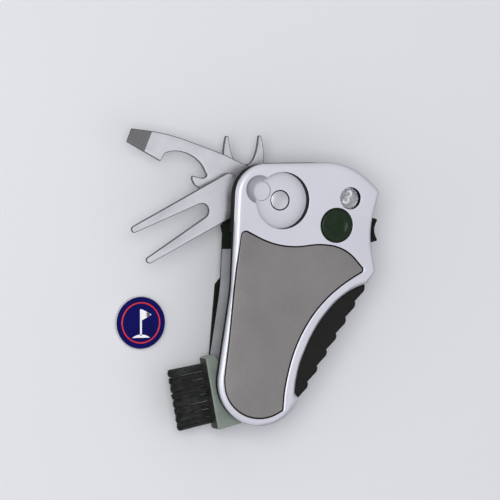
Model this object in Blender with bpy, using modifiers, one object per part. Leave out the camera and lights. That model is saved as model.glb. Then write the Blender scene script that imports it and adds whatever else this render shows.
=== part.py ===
"""Folding golf multi-tool: a palm-size case with three steel tools, a groove brush, a stroke
counter, a ball-marker socket, a rubber grip and a belt clip.

The tool lies on its belt clip. +Z points out of the front face, +Y towards the counter end,
and the origin is on the clip's outer face, under the middle of the case.
"""
import math

import bmesh
import bpy
from mathutils import Matrix, Vector

MM = 0.001

# Driving dimensions, in millimetres ------------------------------------------------------------
CASE_TOP_Y = 42.2            # counter end of the case
CASE_BOTTOM_Y = -52.4        # brush end of the case
CASE_LEFT_X = -19.1          # left side, at the tool slot
CASE_WAIST_X = -21.3         # left side, where it starts to flare
CASE_FLARE_X = -29.3         # where the flared left side would meet the bottom line
CASE_SHOULDER_X = 24.5       # where the top line starts to fall to the right shoulder
CASE_NOSE = (36.2, 31.6)     # right shoulder
CASE_THUMB = (31.9, 17.0)    # deepest point of the thumb recess on the right side
CASE_HIP = (34.5, 2.6)       # lower end of the thumb recess
CASE_TOE_X = -1.1            # where the grip side would meet the bottom line
CASE_TOE_R = 16.0
CASE_FLARE_R = 16.0          # radius of the flared corner at the lower left

CLIP_THICK = 1.8
CLIP_GAP = 4.4               # clear room for the belt between clip and case
BACK_THICK = 1.5             # back wall of the case
CASE_WALL = 1.5              # side walls
CAVITY_DEPTH = 9.3           # room for the tools between back wall and chassis
CHASSIS_THICK = 2.3
LID_THICK = 2.4
GAP = 0.3                    # clear gap between neighbouring pieces
EDGE_INSET = 0.3             # chassis and back shell stand this far inside the lid's edge

LINER_THICK = 0.5
TOOL_THICK = 1.4
WASHER_THICK = 0.3
WASHER_CLEAR = 0.15          # each side of the washer between opener and fork
TOOL_PIVOT = (-12.6, 33.5)
PIN_R = 1.8
BORE_CLEAR = 0.3
SPACER_R = 4.2
SKIRT_LOW_Y = 17.5           # the skirt hides the tools' roots down to here
SKIRT_RIGHT_X = -3.5
SKIRT_THICK = 1.6
EYE_R = 7.4                  # rounded root of opener and wrench, about the pivot
FORK_EYE_R = 6.6             # rounded root of the fork
THROAT_R = (10.2, 7.4)       # half length and depth of the opener's throat
FORK_ANGLE = 207.1           # direction each open tool points in, in degrees from +X
OPENER_ANGLE = 157.0
WRENCH_ANGLE = 90.0
FORK_WIDTH = 15.0
FORK_LENGTH = 46.8           # pivot to prong tips
FORK_OFFSET = -0.9           # blade's middle line, to the side of the pivot
FORK_SLOT_LENGTH = 29.6
FORK_SLOT_ROOT = 5.4
FORK_SLOT_MOUTH = 10.3
WRENCH_PIN_PITCH = 12.7      # distance between the two cleat pins
WRENCH_LENGTH = 18.4

BRUSH_PIVOT = (-9.7, -42.5)
BRUSH_ANGLE = 190.5          # direction the open bristles point in
BRUSH_REACH = 16.4           # pivot to the bristle face of the block
BRUSH_LOW = -8.6             # lower end of the block, across the brush
BRUSH_HIGH = 18.2            # upper end of the block, across the brush
BRUSH_THICK = 6.2
BRUSH_EYE_R = 7.8
BRISTLE_LENGTH = 13.9
BRISTLE_THICK = 2.6
BRISTLE_MARGIN = 2.3         # from the block's ends to the first bristles

SOCKET = (-2.0, 28.8)
SOCKET_R = 10.3
SOCKET_DEPTH = 3.0
CUP_WALL = 0.9
CUP_FLOOR = 1.1
MAGNET_R = 3.4
DIMPLE = (-9.3, 32.3)
DIMPLE_R = 3.6
DIMPLE_DEPTH = 0.6
SCOOP = (-11.2, 33.0)
SCOOP_R = 5.2
MARKER_CENTRE = (-49.0, -15.4)
MARKER_R = 9.6
MARKER_THICK = 1.5

BUTTON = (19.0, 19.5)
BUTTON_R = 6.0
BUTTON_HEIGHT = 2.0
BUTTON_PROUD = 0.4
WINDOW = (24.4, 29.2)
WINDOW_R = 4.0
LENS_THICK = 0.6
COUNT_AXIS = (21.0, 22.6)    # the numeral wheel's axis
COUNT_WHEEL_R = 11.2
COUNT_WHEEL_THICK = 1.2
COUNT_POST_R = 3.2
STEM_R = 1.4

SLIDER_Y = (11.8, 22.6)
SLIDER_REACH = 38.0          # thumb piece's outer X
SLIDER_Z = (10.5, 15.0)

PANEL_THICK = 0.7
PANEL_SUNK = 0.2             # panel face below the lid's face
PANEL_GAP = 0.5

GRIP_BAND = 2.0              # rubber on the side wall
GRIP_TOP_SUNK = 2.2          # grip's top face below the lid's face
GRIP_TEETH = 7
GRIP_TOOTH_DEPTH = 0.9

SCREW_HEAD_R = 2.2
SCREW_HEAD_THICK = 1.1
SCREW_R = 1.1
BOSS_R = 2.3
CASE_SCREWS = [(28.0, 34.5), (27.0, 3.6), (5.0, 6.0), (0.7, -44.6)]
CLIP_SCREWS = [(-7.0, 13.0), (7.0, 13.0)]

# Levels that follow from them --------------------------------------------------------------------
Z_BACK = CLIP_THICK + CLIP_GAP
Z_FLOOR = Z_BACK + BACK_THICK
Z_LINER = Z_FLOOR + 0.2
Z_STACK = Z_LINER + LINER_THICK + GAP
Z_CHASSIS = Z_FLOOR + CAVITY_DEPTH
Z_CHASSIS_TOP = Z_CHASSIS + CHASSIS_THICK
Z_LID = Z_CHASSIS_TOP + GAP
Z_FACE = Z_LID + LID_THICK
Z_SOCKET = Z_FACE - SOCKET_DEPTH
Z_WRENCH = Z_STACK
Z_BRISTLES = Z_STACK + 0.1
Z_OPENER = Z_BRISTLES + BRISTLE_THICK + 0.2       # clears the folded bristles
Z_FORK = Z_OPENER + TOOL_THICK + WASHER_THICK + 2.0 * WASHER_CLEAR
Z_SKIRT = Z_FORK + TOOL_THICK + 0.2


# Shape helpers -----------------------------------------------------------------------------------
def point(centre, radius, angle_deg):
    """Point at an angle from a centre."""
    a = math.radians(angle_deg)
    return (centre[0] + radius * math.cos(a), centre[1] + radius * math.sin(a))


def arc(centre, radius, start_deg, end_deg, steps):
    """Points along an arc, ends included."""
    return [point(centre, radius, start_deg + (end_deg - start_deg) * i / steps)
            for i in range(steps + 1)]


def rounded(corners, degrees_per_step=15.0):
    """Outline through corners (x, y, radius), each turned into an arc of its radius."""
    outline = []
    count = len(corners)
    for i, (x, y, radius) in enumerate(corners):
        here = Vector((x, y))
        to_last = (Vector(corners[i - 1][:2]) - here).normalized()
        to_next = (Vector(corners[(i + 1) % count][:2]) - here).normalized()
        if radius <= 0.0:
            outline.append((x, y))
            continue
        half = to_last.angle(to_next) / 2.0
        middle = here + (to_last + to_next).normalized() * (radius / math.sin(half))
        first = here + to_last * (radius / math.tan(half)) - middle
        turn = math.pi - 2.0 * half
        side = 1.0 if to_last.x * to_next.y - to_last.y * to_next.x < 0.0 else -1.0
        steps = max(2, round(math.degrees(turn) / degrees_per_step))
        for k in range(steps + 1):
            a = side * turn * k / steps
            outline.append((middle.x + first.x * math.cos(a) - first.y * math.sin(a),
                            middle.y + first.x * math.sin(a) + first.y * math.cos(a)))
    return outline


def inset(outline, distance):
    """Outline moved inwards by a distance, corner by corner; outlines run anticlockwise."""
    moved = []
    count = len(outline)
    for i in range(count):
        here = Vector(outline[i])
        last_edge = (here - Vector(outline[i - 1])).normalized()
        next_edge = (Vector(outline[(i + 1) % count]) - here).normalized()
        last_in = Vector((-last_edge.y, last_edge.x))
        next_in = Vector((-next_edge.y, next_edge.x))
        middle = (last_in + next_in).normalized()
        moved.append(tuple(here + middle * (distance / max(0.5, middle.dot(next_in)))))
    return moved


def collection(name):
    """Collection of that name, linked to the scene."""
    group = bpy.data.collections.new(name)
    bpy.context.scene.collection.children.link(group)
    return group


def material(name, colour, roughness, metallic=0.0, alpha=1.0):
    """Plain Principled material."""
    made = bpy.data.materials.new(name)
    made.use_nodes = True
    shader = made.node_tree.nodes["Principled BSDF"]
    shader.inputs["Base Color"].default_value = (*colour, 1.0)
    shader.inputs["Roughness"].default_value = roughness
    shader.inputs["Metallic"].default_value = metallic
    shader.inputs["Alpha"].default_value = alpha
    return made


def add(mesh, name, group, finish=None, smooth=35.0):
    """Object from a mesh in millimetres, placed in a collection."""
    mesh.transform(Matrix.Scale(MM, 4))
    mesh.shade_smooth()
    mesh.set_sharp_from_angle(angle=math.radians(smooth))
    made = bpy.data.objects.new(name, mesh)
    group.objects.link(made)
    if finish:
        mesh.materials.append(finish)
    else:
        made.hide_render = True
        made.display_type = "WIRE"
    return made


def slab(outline, low, high, name, group, finish=None):
    """Flat outline, as a 2D curve with an extrude, made a closed mesh between two levels."""
    curve = bpy.data.curves.new(name, "CURVE")
    curve.dimensions = "2D"
    curve.fill_mode = "BOTH"
    curve.extrude = (high - low) / 2.0
    spline = curve.splines.new("POLY")
    spline.points.add(len(outline) - 1)
    for vertex, (x, y) in zip(spline.points, outline):
        vertex.co = (x, y, 0.0, 1.0)
    spline.use_cyclic_u = True
    guide = bpy.data.objects.new(name + "_outline", curve)
    bpy.context.scene.collection.objects.link(guide)
    bpy.context.view_layer.update()
    evaluated = guide.evaluated_get(bpy.context.evaluated_depsgraph_get())
    mesh = bpy.data.meshes.new_from_object(evaluated)
    bpy.data.objects.remove(guide)
    bpy.data.curves.remove(curve)
    shape = bmesh.new()
    shape.from_mesh(mesh)
    bmesh.ops.remove_doubles(shape, verts=shape.verts, dist=0.001)
    bmesh.ops.dissolve_limit(shape, angle_limit=math.radians(0.5), verts=shape.verts,
                             edges=shape.edges)
    bmesh.ops.recalc_face_normals(shape, faces=shape.faces)
    bmesh.ops.translate(shape, verts=shape.verts, vec=(0.0, 0.0, (low + high) / 2.0))
    shape.to_mesh(mesh)
    shape.free()
    mesh.name = name
    return add(mesh, name, group, finish)


def cylinder(centre, radius, low, high, name, group, finish=None, sides=32, top_radius=None):
    """Cylinder or cone between two levels, standing on +Z."""
    shape = bmesh.new()
    bmesh.ops.create_cone(shape, cap_ends=True, segments=sides, radius1=radius,
                          radius2=radius if top_radius is None else top_radius,
                          depth=high - low)
    bmesh.ops.translate(shape, verts=shape.verts,
                        vec=(centre[0], centre[1], (low + high) / 2.0))
    mesh = bpy.data.meshes.new(name)
    shape.to_mesh(mesh)
    shape.free()
    return add(mesh, name, group, finish)


def turned(centre, profile, name, group, finish=None, sides=32):
    """Solid of revolution about a vertical axis; profile runs down the outer side (r, z)."""
    mesh = bpy.data.meshes.new(name)
    edges = [(i, i + 1) for i in range(len(profile) - 1)]
    mesh.from_pydata([(r, 0.0, z) for r, z in profile], edges, [])
    made = add(mesh, name, group, finish)
    made.location = (centre[0] * MM, centre[1] * MM, 0.0)
    screw = made.modifiers.new("turn", "SCREW")
    screw.steps = sides
    screw.render_steps = sides
    screw.use_merge_vertices = True
    screw.merge_threshold = 0.00001
    return made


def boolean(target, cutter, operation="DIFFERENCE"):
    """Exact Boolean of target with cutter."""
    step = target.modifiers.new(cutter.name, "BOOLEAN")
    step.operation = operation
    step.object = cutter
    step.solver = "EXACT"


def bevel(target, width, angle=40.0, segments=2):
    """Rounded edges; the width is in millimetres."""
    step = target.modifiers.new("edges", "BEVEL")
    step.width = width * MM
    step.segments = segments
    step.limit_method = "ANGLE"
    step.angle_limit = math.radians(angle)


def placed(outline, pivot, angle_deg):
    """Outline given along +X about its pivot, turned to an angle and moved to the pivot."""
    a = math.radians(angle_deg)
    return [(pivot[0] + x * math.cos(a) - y * math.sin(a),
             pivot[1] + x * math.sin(a) + y * math.cos(a)) for x, y in outline]


def set_origin(made, pivot):
    """Origin of a moving piece on its joint's axis, its mesh left where it is."""
    move = Vector((pivot[0] * MM, pivot[1] * MM, 0.0)) - made.location
    made.data.transform(Matrix.Translation(-move))
    made.location += move


# Outlines shared by the case pieces ----------------------------------------------------------------
def case_outline(shrink=0.0):
    """Plan of the case, anticlockwise from the toe, moved inwards by shrink."""
    corners = [
        (CASE_TOE_X, CASE_BOTTOM_Y, CASE_TOE_R),
        (CASE_HIP[0], CASE_HIP[1], 2.0),
        (CASE_THUMB[0], CASE_THUMB[1], 30.0),
        (CASE_NOSE[0], CASE_NOSE[1], 2.0),
        (CASE_SHOULDER_X, CASE_TOP_Y, 25.0),
        (CASE_LEFT_X, CASE_TOP_Y, 11.5),
        (CASE_WAIST_X, -3.0, 60.0),
        (CASE_FLARE_X, CASE_BOTTOM_Y, CASE_FLARE_R),
    ]
    hollow = (2, 6)          # corners that turn inwards
    moved = inset([corner[:2] for corner in corners], shrink)
    radii = [corner[2] + shrink if i in hollow else max(0.4, corner[2] - shrink)
             for i, corner in enumerate(corners)]
    return rounded([(x, y, radius) for (x, y), radius in zip(moved, radii)], 7.5)


def grip_side():
    """Unit vectors along the grip side, from toe to hip, and out of it."""
    along = (Vector(CASE_HIP) - Vector((CASE_TOE_X, CASE_BOTTOM_Y))).normalized()
    return along, Vector((along.y, -along.x))


def grip_inner(offset):
    """Curved inner edge of the grip, hip to toe, moved inwards (away from it) by an offset."""
    curve = [(31.2, -2.0), (26.2, -3.2), (19.0, -8.4), (13.1, -14.9), (9.1, -21.4),
             (5.2, -30.1), (3.5, -37.0), (3.2, -41.0), (4.8, -43.1)]
    moved = []
    for i, here in enumerate(curve):
        before = Vector(curve[max(0, i - 1)])
        after = Vector(curve[min(len(curve) - 1, i + 1)])
        way = (after - before).normalized()
        moved.append((here[0] + way.y * offset, here[1] - way.x * offset))
    return moved


def build():
    """The whole tool."""
    for old in list(bpy.data.objects):
        bpy.data.objects.remove(old)
    parts = collection("golf_multi_tool")
    cutters = collection("cutters")

    silver = material("silver_paint", (0.62, 0.62, 0.68), 0.3, 0.4)
    dark = material("dark_green_plastic", (0.012, 0.016, 0.013), 0.35)
    steel = material("satin_steel", (0.55, 0.55, 0.56), 0.3, 1.0)
    panel_grey = material("panel_grey", (0.26, 0.25, 0.25), 0.5, 0.3)
    rubber = material("black_rubber", (0.01, 0.01, 0.009), 0.8)
    green = material("button_green", (0.02, 0.045, 0.02), 0.25)
    block_green = material("brush_green", (0.21, 0.25, 0.22), 0.4)
    nylon = material("bristle_black", (0.02, 0.022, 0.02), 0.6)
    navy = material("marker_navy", (0.005, 0.005, 0.09), 0.2)
    pale = material("numeral_grey", (0.45, 0.45, 0.5), 0.4)
    clear = material("lens_clear", (0.9, 0.9, 0.9), 0.05, 0.0, 0.35)

    case = case_outline()
    along, out = grip_side()
    far = 60.0

    # Notch that leaves room for the rubber, in the lid and in the chassis (curved), and in the
    # back shell (straight, one band deep).
    curved = grip_inner(0.0)
    beyond = [tuple(Vector(curved[-1]) + out * far), tuple(Vector(curved[0]) + out * far)]
    lid_notch = slab(curved + beyond, Z_LID - 5.0, Z_FACE + 5.0, "lid_notch", cutters)
    deeper = grip_inner(GAP)
    deeper = [tuple(Vector(deeper[0]) + along), *deeper, tuple(Vector(deeper[-1]) - along)]
    ends = [tuple(Vector(deeper[-1]) + out * far), tuple(Vector(deeper[0]) + out * far)]
    chassis_notch = slab(deeper + ends, Z_CHASSIS - 5.0, Z_LID, "chassis_notch", cutters)
    toe = Vector(curved[-1]).dot(along)
    hip = Vector(curved[0]).dot(along)
    side = Vector((CASE_TOE_X, CASE_BOTTOM_Y)).dot(out)
    band = side - GRIP_BAND - GAP
    corner = [tuple(along * s + out * t) for s, t in
              ((toe - GAP, band), (toe - GAP, far), (hip + GAP, far), (hip + GAP, band))]
    band_notch = slab(corner, Z_BACK + 2.0, Z_CHASSIS + 1.0, "band_notch", cutters)

    # Lid: silver front shell with the marker socket, button hole, window and panel recess.
    lid = slab(case, Z_LID, Z_FACE, "front_shell", parts, silver)
    boolean(lid, lid_notch)
    bevel(lid, 0.9, 50.0, 3)
    cup = cylinder(SOCKET, SOCKET_R + CUP_WALL, Z_SOCKET - CUP_FLOOR, Z_FACE - 0.5,
                   "socket_cup", cutters, sides=48)
    boolean(lid, cup, "UNION")
    bore = cylinder(SOCKET, SOCKET_R, Z_SOCKET, Z_FACE + 1.0, "socket_bore", cutters, sides=48)
    boolean(lid, bore)
    boolean(lid, cylinder(SOCKET, MAGNET_R + GAP, Z_SOCKET - 5.0, Z_SOCKET + 1.0,
                          "magnet_hole", cutters))
    boolean(lid, cylinder(DIMPLE, DIMPLE_R, Z_SOCKET - DIMPLE_DEPTH, Z_FACE + 1.0,
                          "tip_dimple", cutters))
    boolean(lid, cylinder(SCOOP, SCOOP_R - 2.2, Z_FACE - 1.3, Z_FACE + 0.3, "thumb_scoop",
                          cutters, top_radius=SCOOP_R + 0.5))
    boolean(lid, cylinder(BUTTON, BUTTON_R + GAP, Z_LID - 1.0, Z_FACE + 1.0, "button_hole",
                          cutters))
    boolean(lid, cylinder(WINDOW, WINDOW_R, Z_LID - 1.0, Z_FACE + 1.0, "window_hole", cutters))

    panel = rounded([
        (-10.5, -49.5, 0.0), (-6.2, -48.9, 0.0), (-2.2, -46.8, 1.2), (-1.8, -40.0, 0.0),
        (-0.6, -35.0, 0.0), (1.8, -25.5, 0.0), (7.7, -14.7, 0.0), (15.0, -6.2, 0.0),
        (23.2, -0.5, 0.0), (29.6, 3.0, 1.6), (24.0, 9.4, 0.0), (18.5, 11.8, 0.0),
        (12.0, 12.6, 0.0), (4.0, 11.7, 0.0), (-3.1, 12.2, 0.0), (-9.5, 14.4, 0.0),
        (-17.6, 18.6, 1.5), (-19.6, 5.0, 0.0), (-22.5, -21.2, 0.0), (-24.4, -35.5, 0.0),
        (-23.8, -40.5, 0.0), (-21.5, -44.6, 0.0), (-18.0, -47.5, 0.0), (-14.5, -49.0, 0.0),
    ])
    recess_z = Z_FACE - PANEL_SUNK - PANEL_THICK - GAP
    boolean(lid, slab(inset(panel, -PANEL_GAP), recess_z, Z_FACE + 1.0, "panel_recess",
                      cutters))
    inlay = slab(panel, recess_z + GAP, Z_FACE - PANEL_SUNK, "grey_panel", parts, panel_grey)
    bevel(inlay, 0.2, 50.0, 1)

    # Chassis: dark plate under the lid; it carries the counter and closes the tool bay.
    chassis = slab(case_outline(EDGE_INSET), Z_CHASSIS, Z_CHASSIS_TOP, "chassis_plate", parts,
                   dark)
    skirt = slab(case_outline(EDGE_INSET), Z_SKIRT, Z_CHASSIS + 0.5, "skirt", cutters)
    boolean(skirt, slab([(-60.0, SKIRT_LOW_Y), (SKIRT_RIGHT_X, SKIRT_LOW_Y),
                         (SKIRT_RIGHT_X, 60.0), (-60.0, 60.0)],
                        Z_SKIRT - 2.0, Z_LID + 1.0, "skirt_part", cutters), "INTERSECT")
    boolean(skirt, slab(case_outline(EDGE_INSET + SKIRT_THICK), Z_SKIRT - 1.0, Z_LID,
                        "skirt_room", cutters))
    boolean(chassis, skirt, "UNION")
    boolean(chassis, cylinder(TOOL_PIVOT, SPACER_R, Z_SKIRT, Z_CHASSIS + 0.3, "pivot_boss",
                              cutters), "UNION")
    boolean(chassis, chassis_notch)
    cup_bed = cylinder(SOCKET, SOCKET_R + CUP_WALL + GAP, Z_SOCKET - CUP_FLOOR - GAP, Z_LID,
                       "cup_bed", cutters, sides=48)
    boolean(chassis, cup_bed)
    wheel_low = Z_CHASSIS_TOP - GAP - COUNT_WHEEL_THICK
    wheel_bed = cylinder(COUNT_AXIS, COUNT_WHEEL_R + GAP, wheel_low - GAP, Z_LID, "wheel_bed",
                         cutters, sides=48)
    post = cylinder(COUNT_AXIS, COUNT_POST_R, wheel_low - 2.0, Z_LID + 1.0, "post_core",
                    cutters)
    boolean(wheel_bed, post)
    boolean(chassis, wheel_bed)
    boolean(chassis, cylinder(COUNT_AXIS, STEM_R + GAP, Z_CHASSIS - 1.0, Z_LID, "stem_bore",
                              cutters))
    for name, centre in (("tool_pin_hole", TOOL_PIVOT), ("brush_pin_hole", BRUSH_PIVOT)):
        boolean(chassis, cylinder(centre, PIN_R + GAP, Z_SKIRT - 1.0, Z_LID, name, cutters))

    # Back shell: floor, right side wall and screw bosses; the left side is one open tool slot.
    shell = slab(case_outline(EDGE_INSET), Z_BACK, Z_CHASSIS - GAP, "back_shell", parts, dark)
    bevel_back = shell.modifiers.new("back_edges", "BEVEL")
    bevel_back.width = 2.4 * MM
    bevel_back.segments = 3
    bevel_back.limit_method = "WEIGHT"
    weights = shell.data.attributes.new("bevel_weight_edge", "FLOAT", "EDGE")
    for edge in shell.data.edges:
        ends = [shell.data.vertices[v].co.z for v in edge.vertices]
        weights.data[edge.index].value = 1.0 if max(ends) < (Z_BACK + 0.1) * MM else 0.0
    boolean(shell, band_notch)
    cavity = slab(case_outline(EDGE_INSET + CASE_WALL), Z_FLOOR, Z_CHASSIS + 1.0, "case_cavity", cutters)
    wall_room = [tuple(along * s + out * t) for s, t in
                 ((toe - GAP - CASE_WALL, band - CASE_WALL), (toe - GAP - CASE_WALL, far),
                  (hip + GAP + CASE_WALL, far), (hip + GAP + CASE_WALL, band - CASE_WALL))]
    boolean(cavity, slab(wall_room, Z_FLOOR - 1.0, Z_CHASSIS + 2.0, "band_wall", cutters))
    boolean(shell, cavity)
    slot_edge = [(-2.5, CASE_TOP_Y + 8.0), (-45.0, CASE_TOP_Y + 8.0),
                 (-45.0, CASE_BOTTOM_Y - 8.0), (-7.0, CASE_BOTTOM_Y - 8.0), (-7.0, -46.0),
                 (-15.0, -42.0), (-15.0, 30.0), (-2.5, 38.0)]
    boolean(shell, slab(slot_edge, Z_FLOOR + 0.02, Z_CHASSIS + 1.5, "tool_slot", cutters))
    for i, centre in enumerate(CASE_SCREWS):
        boss = cylinder(centre, BOSS_R, Z_FLOOR - 0.5, Z_CHASSIS - GAP, f"boss_{i}", cutters)
        boolean(shell, boss, "UNION")
    for i, centre in enumerate(CASE_SCREWS):
        hole = turned(centre, [
            (0.0, Z_FACE - 1.5), (SCREW_R + GAP, Z_FACE - 1.5),
            (SCREW_R + GAP, Z_BACK + SCREW_HEAD_THICK + GAP),
            (SCREW_HEAD_R + GAP, Z_BACK + SCREW_HEAD_THICK + GAP),
            (SCREW_HEAD_R + GAP, Z_BACK - 1.0), (0.0, Z_BACK - 1.0)],
            f"screw_hole_{i}", cutters, sides=16)
        for piece in (shell, chassis, lid):
            boolean(piece, hole)
    for name, centre in (("tool_pin_seat", TOOL_PIVOT), ("brush_pin_seat", BRUSH_PIVOT)):
        boolean(shell, cylinder(centre, PIN_R + GAP, Z_BACK - 1.0, Z_FLOOR + 1.0, name,
                                cutters))
    for i, centre in enumerate(CLIP_SCREWS):
        boolean(shell, cylinder(centre, SCREW_R + GAP, Z_BACK - 1.0, Z_FLOOR + 1.0,
                                f"clip_screw_hole_{i}", cutters, sides=16))

    build_liner_and_lever(parts, cutters, dark, steel)
    build_tools(parts, cutters, steel)
    build_brush(parts, cutters, block_green, nylon, steel)
    build_counter(parts, cutters, green, pale, clear, steel, wheel_low)
    build_marker(parts, navy, steel)
    build_slider(parts, cutters, shell, dark)
    build_grip(parts, cutters, along, out, toe, hip, side, rubber)
    build_clip(parts, cutters, dark)
    build_screws(parts, steel)
    bpy.context.view_layer.update()


def build_liner_and_lever(parts, cutters, dark, steel):
    """Steel liner on the floor of the tool bay, and the lock lever beside the tool pivot."""
    liner_limit = [(-45.0, 11.0), (-45.0, -29.0), (-4.0, -29.0), (-4.0, 3.0), (-9.0, 11.0)]
    liner = slab(case_outline(EDGE_INSET + 0.2), Z_LINER, Z_LINER + LINER_THICK, "steel_liner",
                 parts, steel)
    boolean(liner, slab(liner_limit, Z_LINER - 1.0, Z_LINER + 2.0, "liner_limit", cutters),
            "INTERSECT")
    pivot = (-12.0, 16.5)
    lever = slab(rounded([
        (-20.9, 19.8, 0.3), (-19.6, 14.0, 0.5), (-17.4, 13.4, 1.0), (-8.6, 13.2, 3.0),
        (-8.6, 20.4, 3.0), (-17.0, 20.6, 1.0)]),
        Z_LINER, Z_LINER + LINER_THICK, "lock_lever", parts, dark)
    boolean(lever, cylinder(pivot, 1.0 + GAP, Z_LINER - 1.0, Z_LINER + 2.0, "lever_bore",
                            cutters, sides=16))
    set_origin(lever, pivot)
    cylinder(pivot, 1.0, Z_FLOOR + 0.1, Z_STACK - 0.1, "lever_pin", parts, steel, sides=16)


def tool_plate(outline, angle, low, name, parts, cutters, finish, width=0.25):
    """Flat steel tool with a pivot bore, its outline given along +X about the pivot."""
    plate = slab(placed(outline, TOOL_PIVOT, angle), low, low + TOOL_THICK, name, parts, finish)
    bevel(plate, width, 50.0, 1)
    boolean(plate, cylinder(TOOL_PIVOT, PIN_R + BORE_CLEAR, low - 1.0, low + TOOL_THICK + 1.0,
                            name + "_bore", cutters))
    set_origin(plate, TOOL_PIVOT)
    return plate


def build_tools(parts, cutters, steel):
    """Groove cleaner fork, bottle opener and cleat wrench on one pin, with their spacers."""
    half = FORK_WIDTH / 2.0
    slot_end = FORK_LENGTH - FORK_SLOT_LENGTH
    root = FORK_SLOT_ROOT / 2.0
    mouth = FORK_SLOT_MOUTH / 2.0
    tip = 0.7                # corner cut off each prong's tip
    blade = ([(8.0, half), (FORK_LENGTH - tip, half), (FORK_LENGTH, half - tip),
              (FORK_LENGTH, mouth + tip), (FORK_LENGTH - tip, mouth)]
             + arc((slot_end + root, 0.0), root, 90.0, 270.0, 10)
             + [(FORK_LENGTH - tip, -mouth), (FORK_LENGTH, -mouth - tip),
                (FORK_LENGTH, -half + tip), (FORK_LENGTH - tip, -half), (3.7, -half)])
    fork = [(x, y + FORK_OFFSET) for x, y in blade] + arc((0.0, 0.0), FORK_EYE_R, 294.0, 100.0, 14)
    tool_plate(fork[::-1], FORK_ANGLE, Z_FORK, "groove_cleaner_fork", parts, cutters, steel)

    throat = (25.6, 5.0)     # the cap rim goes in here
    opener = (arc((0.0, 0.0), EYE_R, 80.0, 285.0, 14)
              + [(13.0, -7.6), (28.0, -6.8), (35.0, -6.3), (41.0, -4.9), (49.2, -2.7),
                 (49.0, 2.5), (34.4, 4.0)]
              + [(throat[0] + THROAT_R[0] * math.cos(math.radians(a)),
                  throat[1] + THROAT_R[1] * math.sin(math.radians(a)))
                 for a in range(-35, -151, -15)]
              + [(15.8, 1.4), (16.0, 2.6), (17.1, 3.5), (18.9, 3.8), (21.1, 4.1), (20.7, 5.5),
                 (18.9, 6.9), (16.5, 7.3)])
    tool_plate(opener, OPENER_ANGLE, Z_OPENER, "bottle_opener", parts, cutters, steel)

    pin_y = WRENCH_PIN_PITCH / 2.0
    prong = [(8.3, pin_y + 1.6), (12.8, pin_y + 1.6), (WRENCH_LENGTH - 2.0, pin_y + 1.0),
             (WRENCH_LENGTH - 0.4, pin_y + 0.6), (WRENCH_LENGTH, pin_y),
             (WRENCH_LENGTH - 0.4, pin_y - 0.6), (14.6, pin_y - 1.0), (12.2, pin_y - 1.6),
             (10.0, pin_y - 2.5), (8.6, pin_y - 3.6), (7.7, 1.4)]
    wrench = ([(x, -y) for x, y in prong] + prong[::-1] + arc((0.0, 0.0), EYE_R, 70.0, 290.0, 14))
    tool_plate(wrench, WRENCH_ANGLE, Z_WRENCH, "cleat_wrench", parts, cutters, steel)

    pin_top = Z_FACE - SOCKET_DEPTH - CUP_FLOOR - GAP      # just under the marker socket
    cylinder(TOOL_PIVOT, PIN_R, Z_BACK + 0.4, pin_top, "tool_pivot_pin", parts, steel)
    washer = Z_OPENER + TOOL_THICK + WASHER_CLEAR
    spacers = (("lower_spacer", Z_WRENCH + TOOL_THICK + 0.2, Z_OPENER - 0.2),
               ("upper_washer", washer, washer + WASHER_THICK))
    for name, low, high in spacers:
        ring = cylinder(TOOL_PIVOT, SPACER_R, low, high, name, parts, steel)
        boolean(ring, cylinder(TOOL_PIVOT, PIN_R + GAP, low - 1.0, high + 1.0, name + "_bore",
                               cutters))


def build_brush(parts, cutters, block_green, nylon, steel):
    """Brush block on its pivot, with the bristles and the pin."""
    block_outline = rounded([
        (BRUSH_REACH, -BRUSH_HIGH, 0.6), (BRUSH_REACH, -BRUSH_LOW, 0.6),
        (2.0, BRUSH_EYE_R, 4.0), (-BRUSH_EYE_R, BRUSH_EYE_R, BRUSH_EYE_R - 0.2),
        (-BRUSH_EYE_R, -BRUSH_EYE_R, BRUSH_EYE_R - 0.2), (3.0, -BRUSH_EYE_R, 3.0),
        (9.0, -10.5, 2.0), (BRUSH_REACH - 3.8, -BRUSH_HIGH, 0.6)])
    low = Z_STACK
    block = slab(placed(block_outline, BRUSH_PIVOT, BRUSH_ANGLE), low, low + BRUSH_THICK,
                 "brush_block", parts, block_green)
    bevel(block, 0.4, 50.0, 2)
    boolean(block, cylinder(BRUSH_PIVOT, PIN_R + BORE_CLEAR, low - 1.0, low + BRUSH_THICK + 1.0,
                            "brush_bore", cutters))
    set_origin(block, BRUSH_PIVOT)
    start = BRUSH_REACH + GAP
    first = -BRUSH_HIGH + BRISTLE_MARGIN
    last = -BRUSH_LOW - BRISTLE_MARGIN
    bundle = placed([(start, first), (start + BRISTLE_LENGTH, first),
                     (start + BRISTLE_LENGTH, last), (start, last)], BRUSH_PIVOT, BRUSH_ANGLE)
    bristles = slab(bundle, Z_BRISTLES, Z_BRISTLES + BRISTLE_THICK, "bristle_pack", parts, nylon)
    set_origin(bristles, BRUSH_PIVOT)
    cylinder(BRUSH_PIVOT, PIN_R, Z_BACK + 0.4, Z_CHASSIS_TOP - 0.2, "brush_pivot_pin", parts,
             steel)
    top = low + BRUSH_THICK + 0.2
    ring = cylinder(BRUSH_PIVOT, SPACER_R, top, Z_CHASSIS - 0.2, "brush_spacer", parts, steel)
    boolean(ring, cylinder(BRUSH_PIVOT, PIN_R + GAP, top - 1.0, Z_CHASSIS + 1.0,
                           "brush_spacer_bore", cutters))


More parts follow.
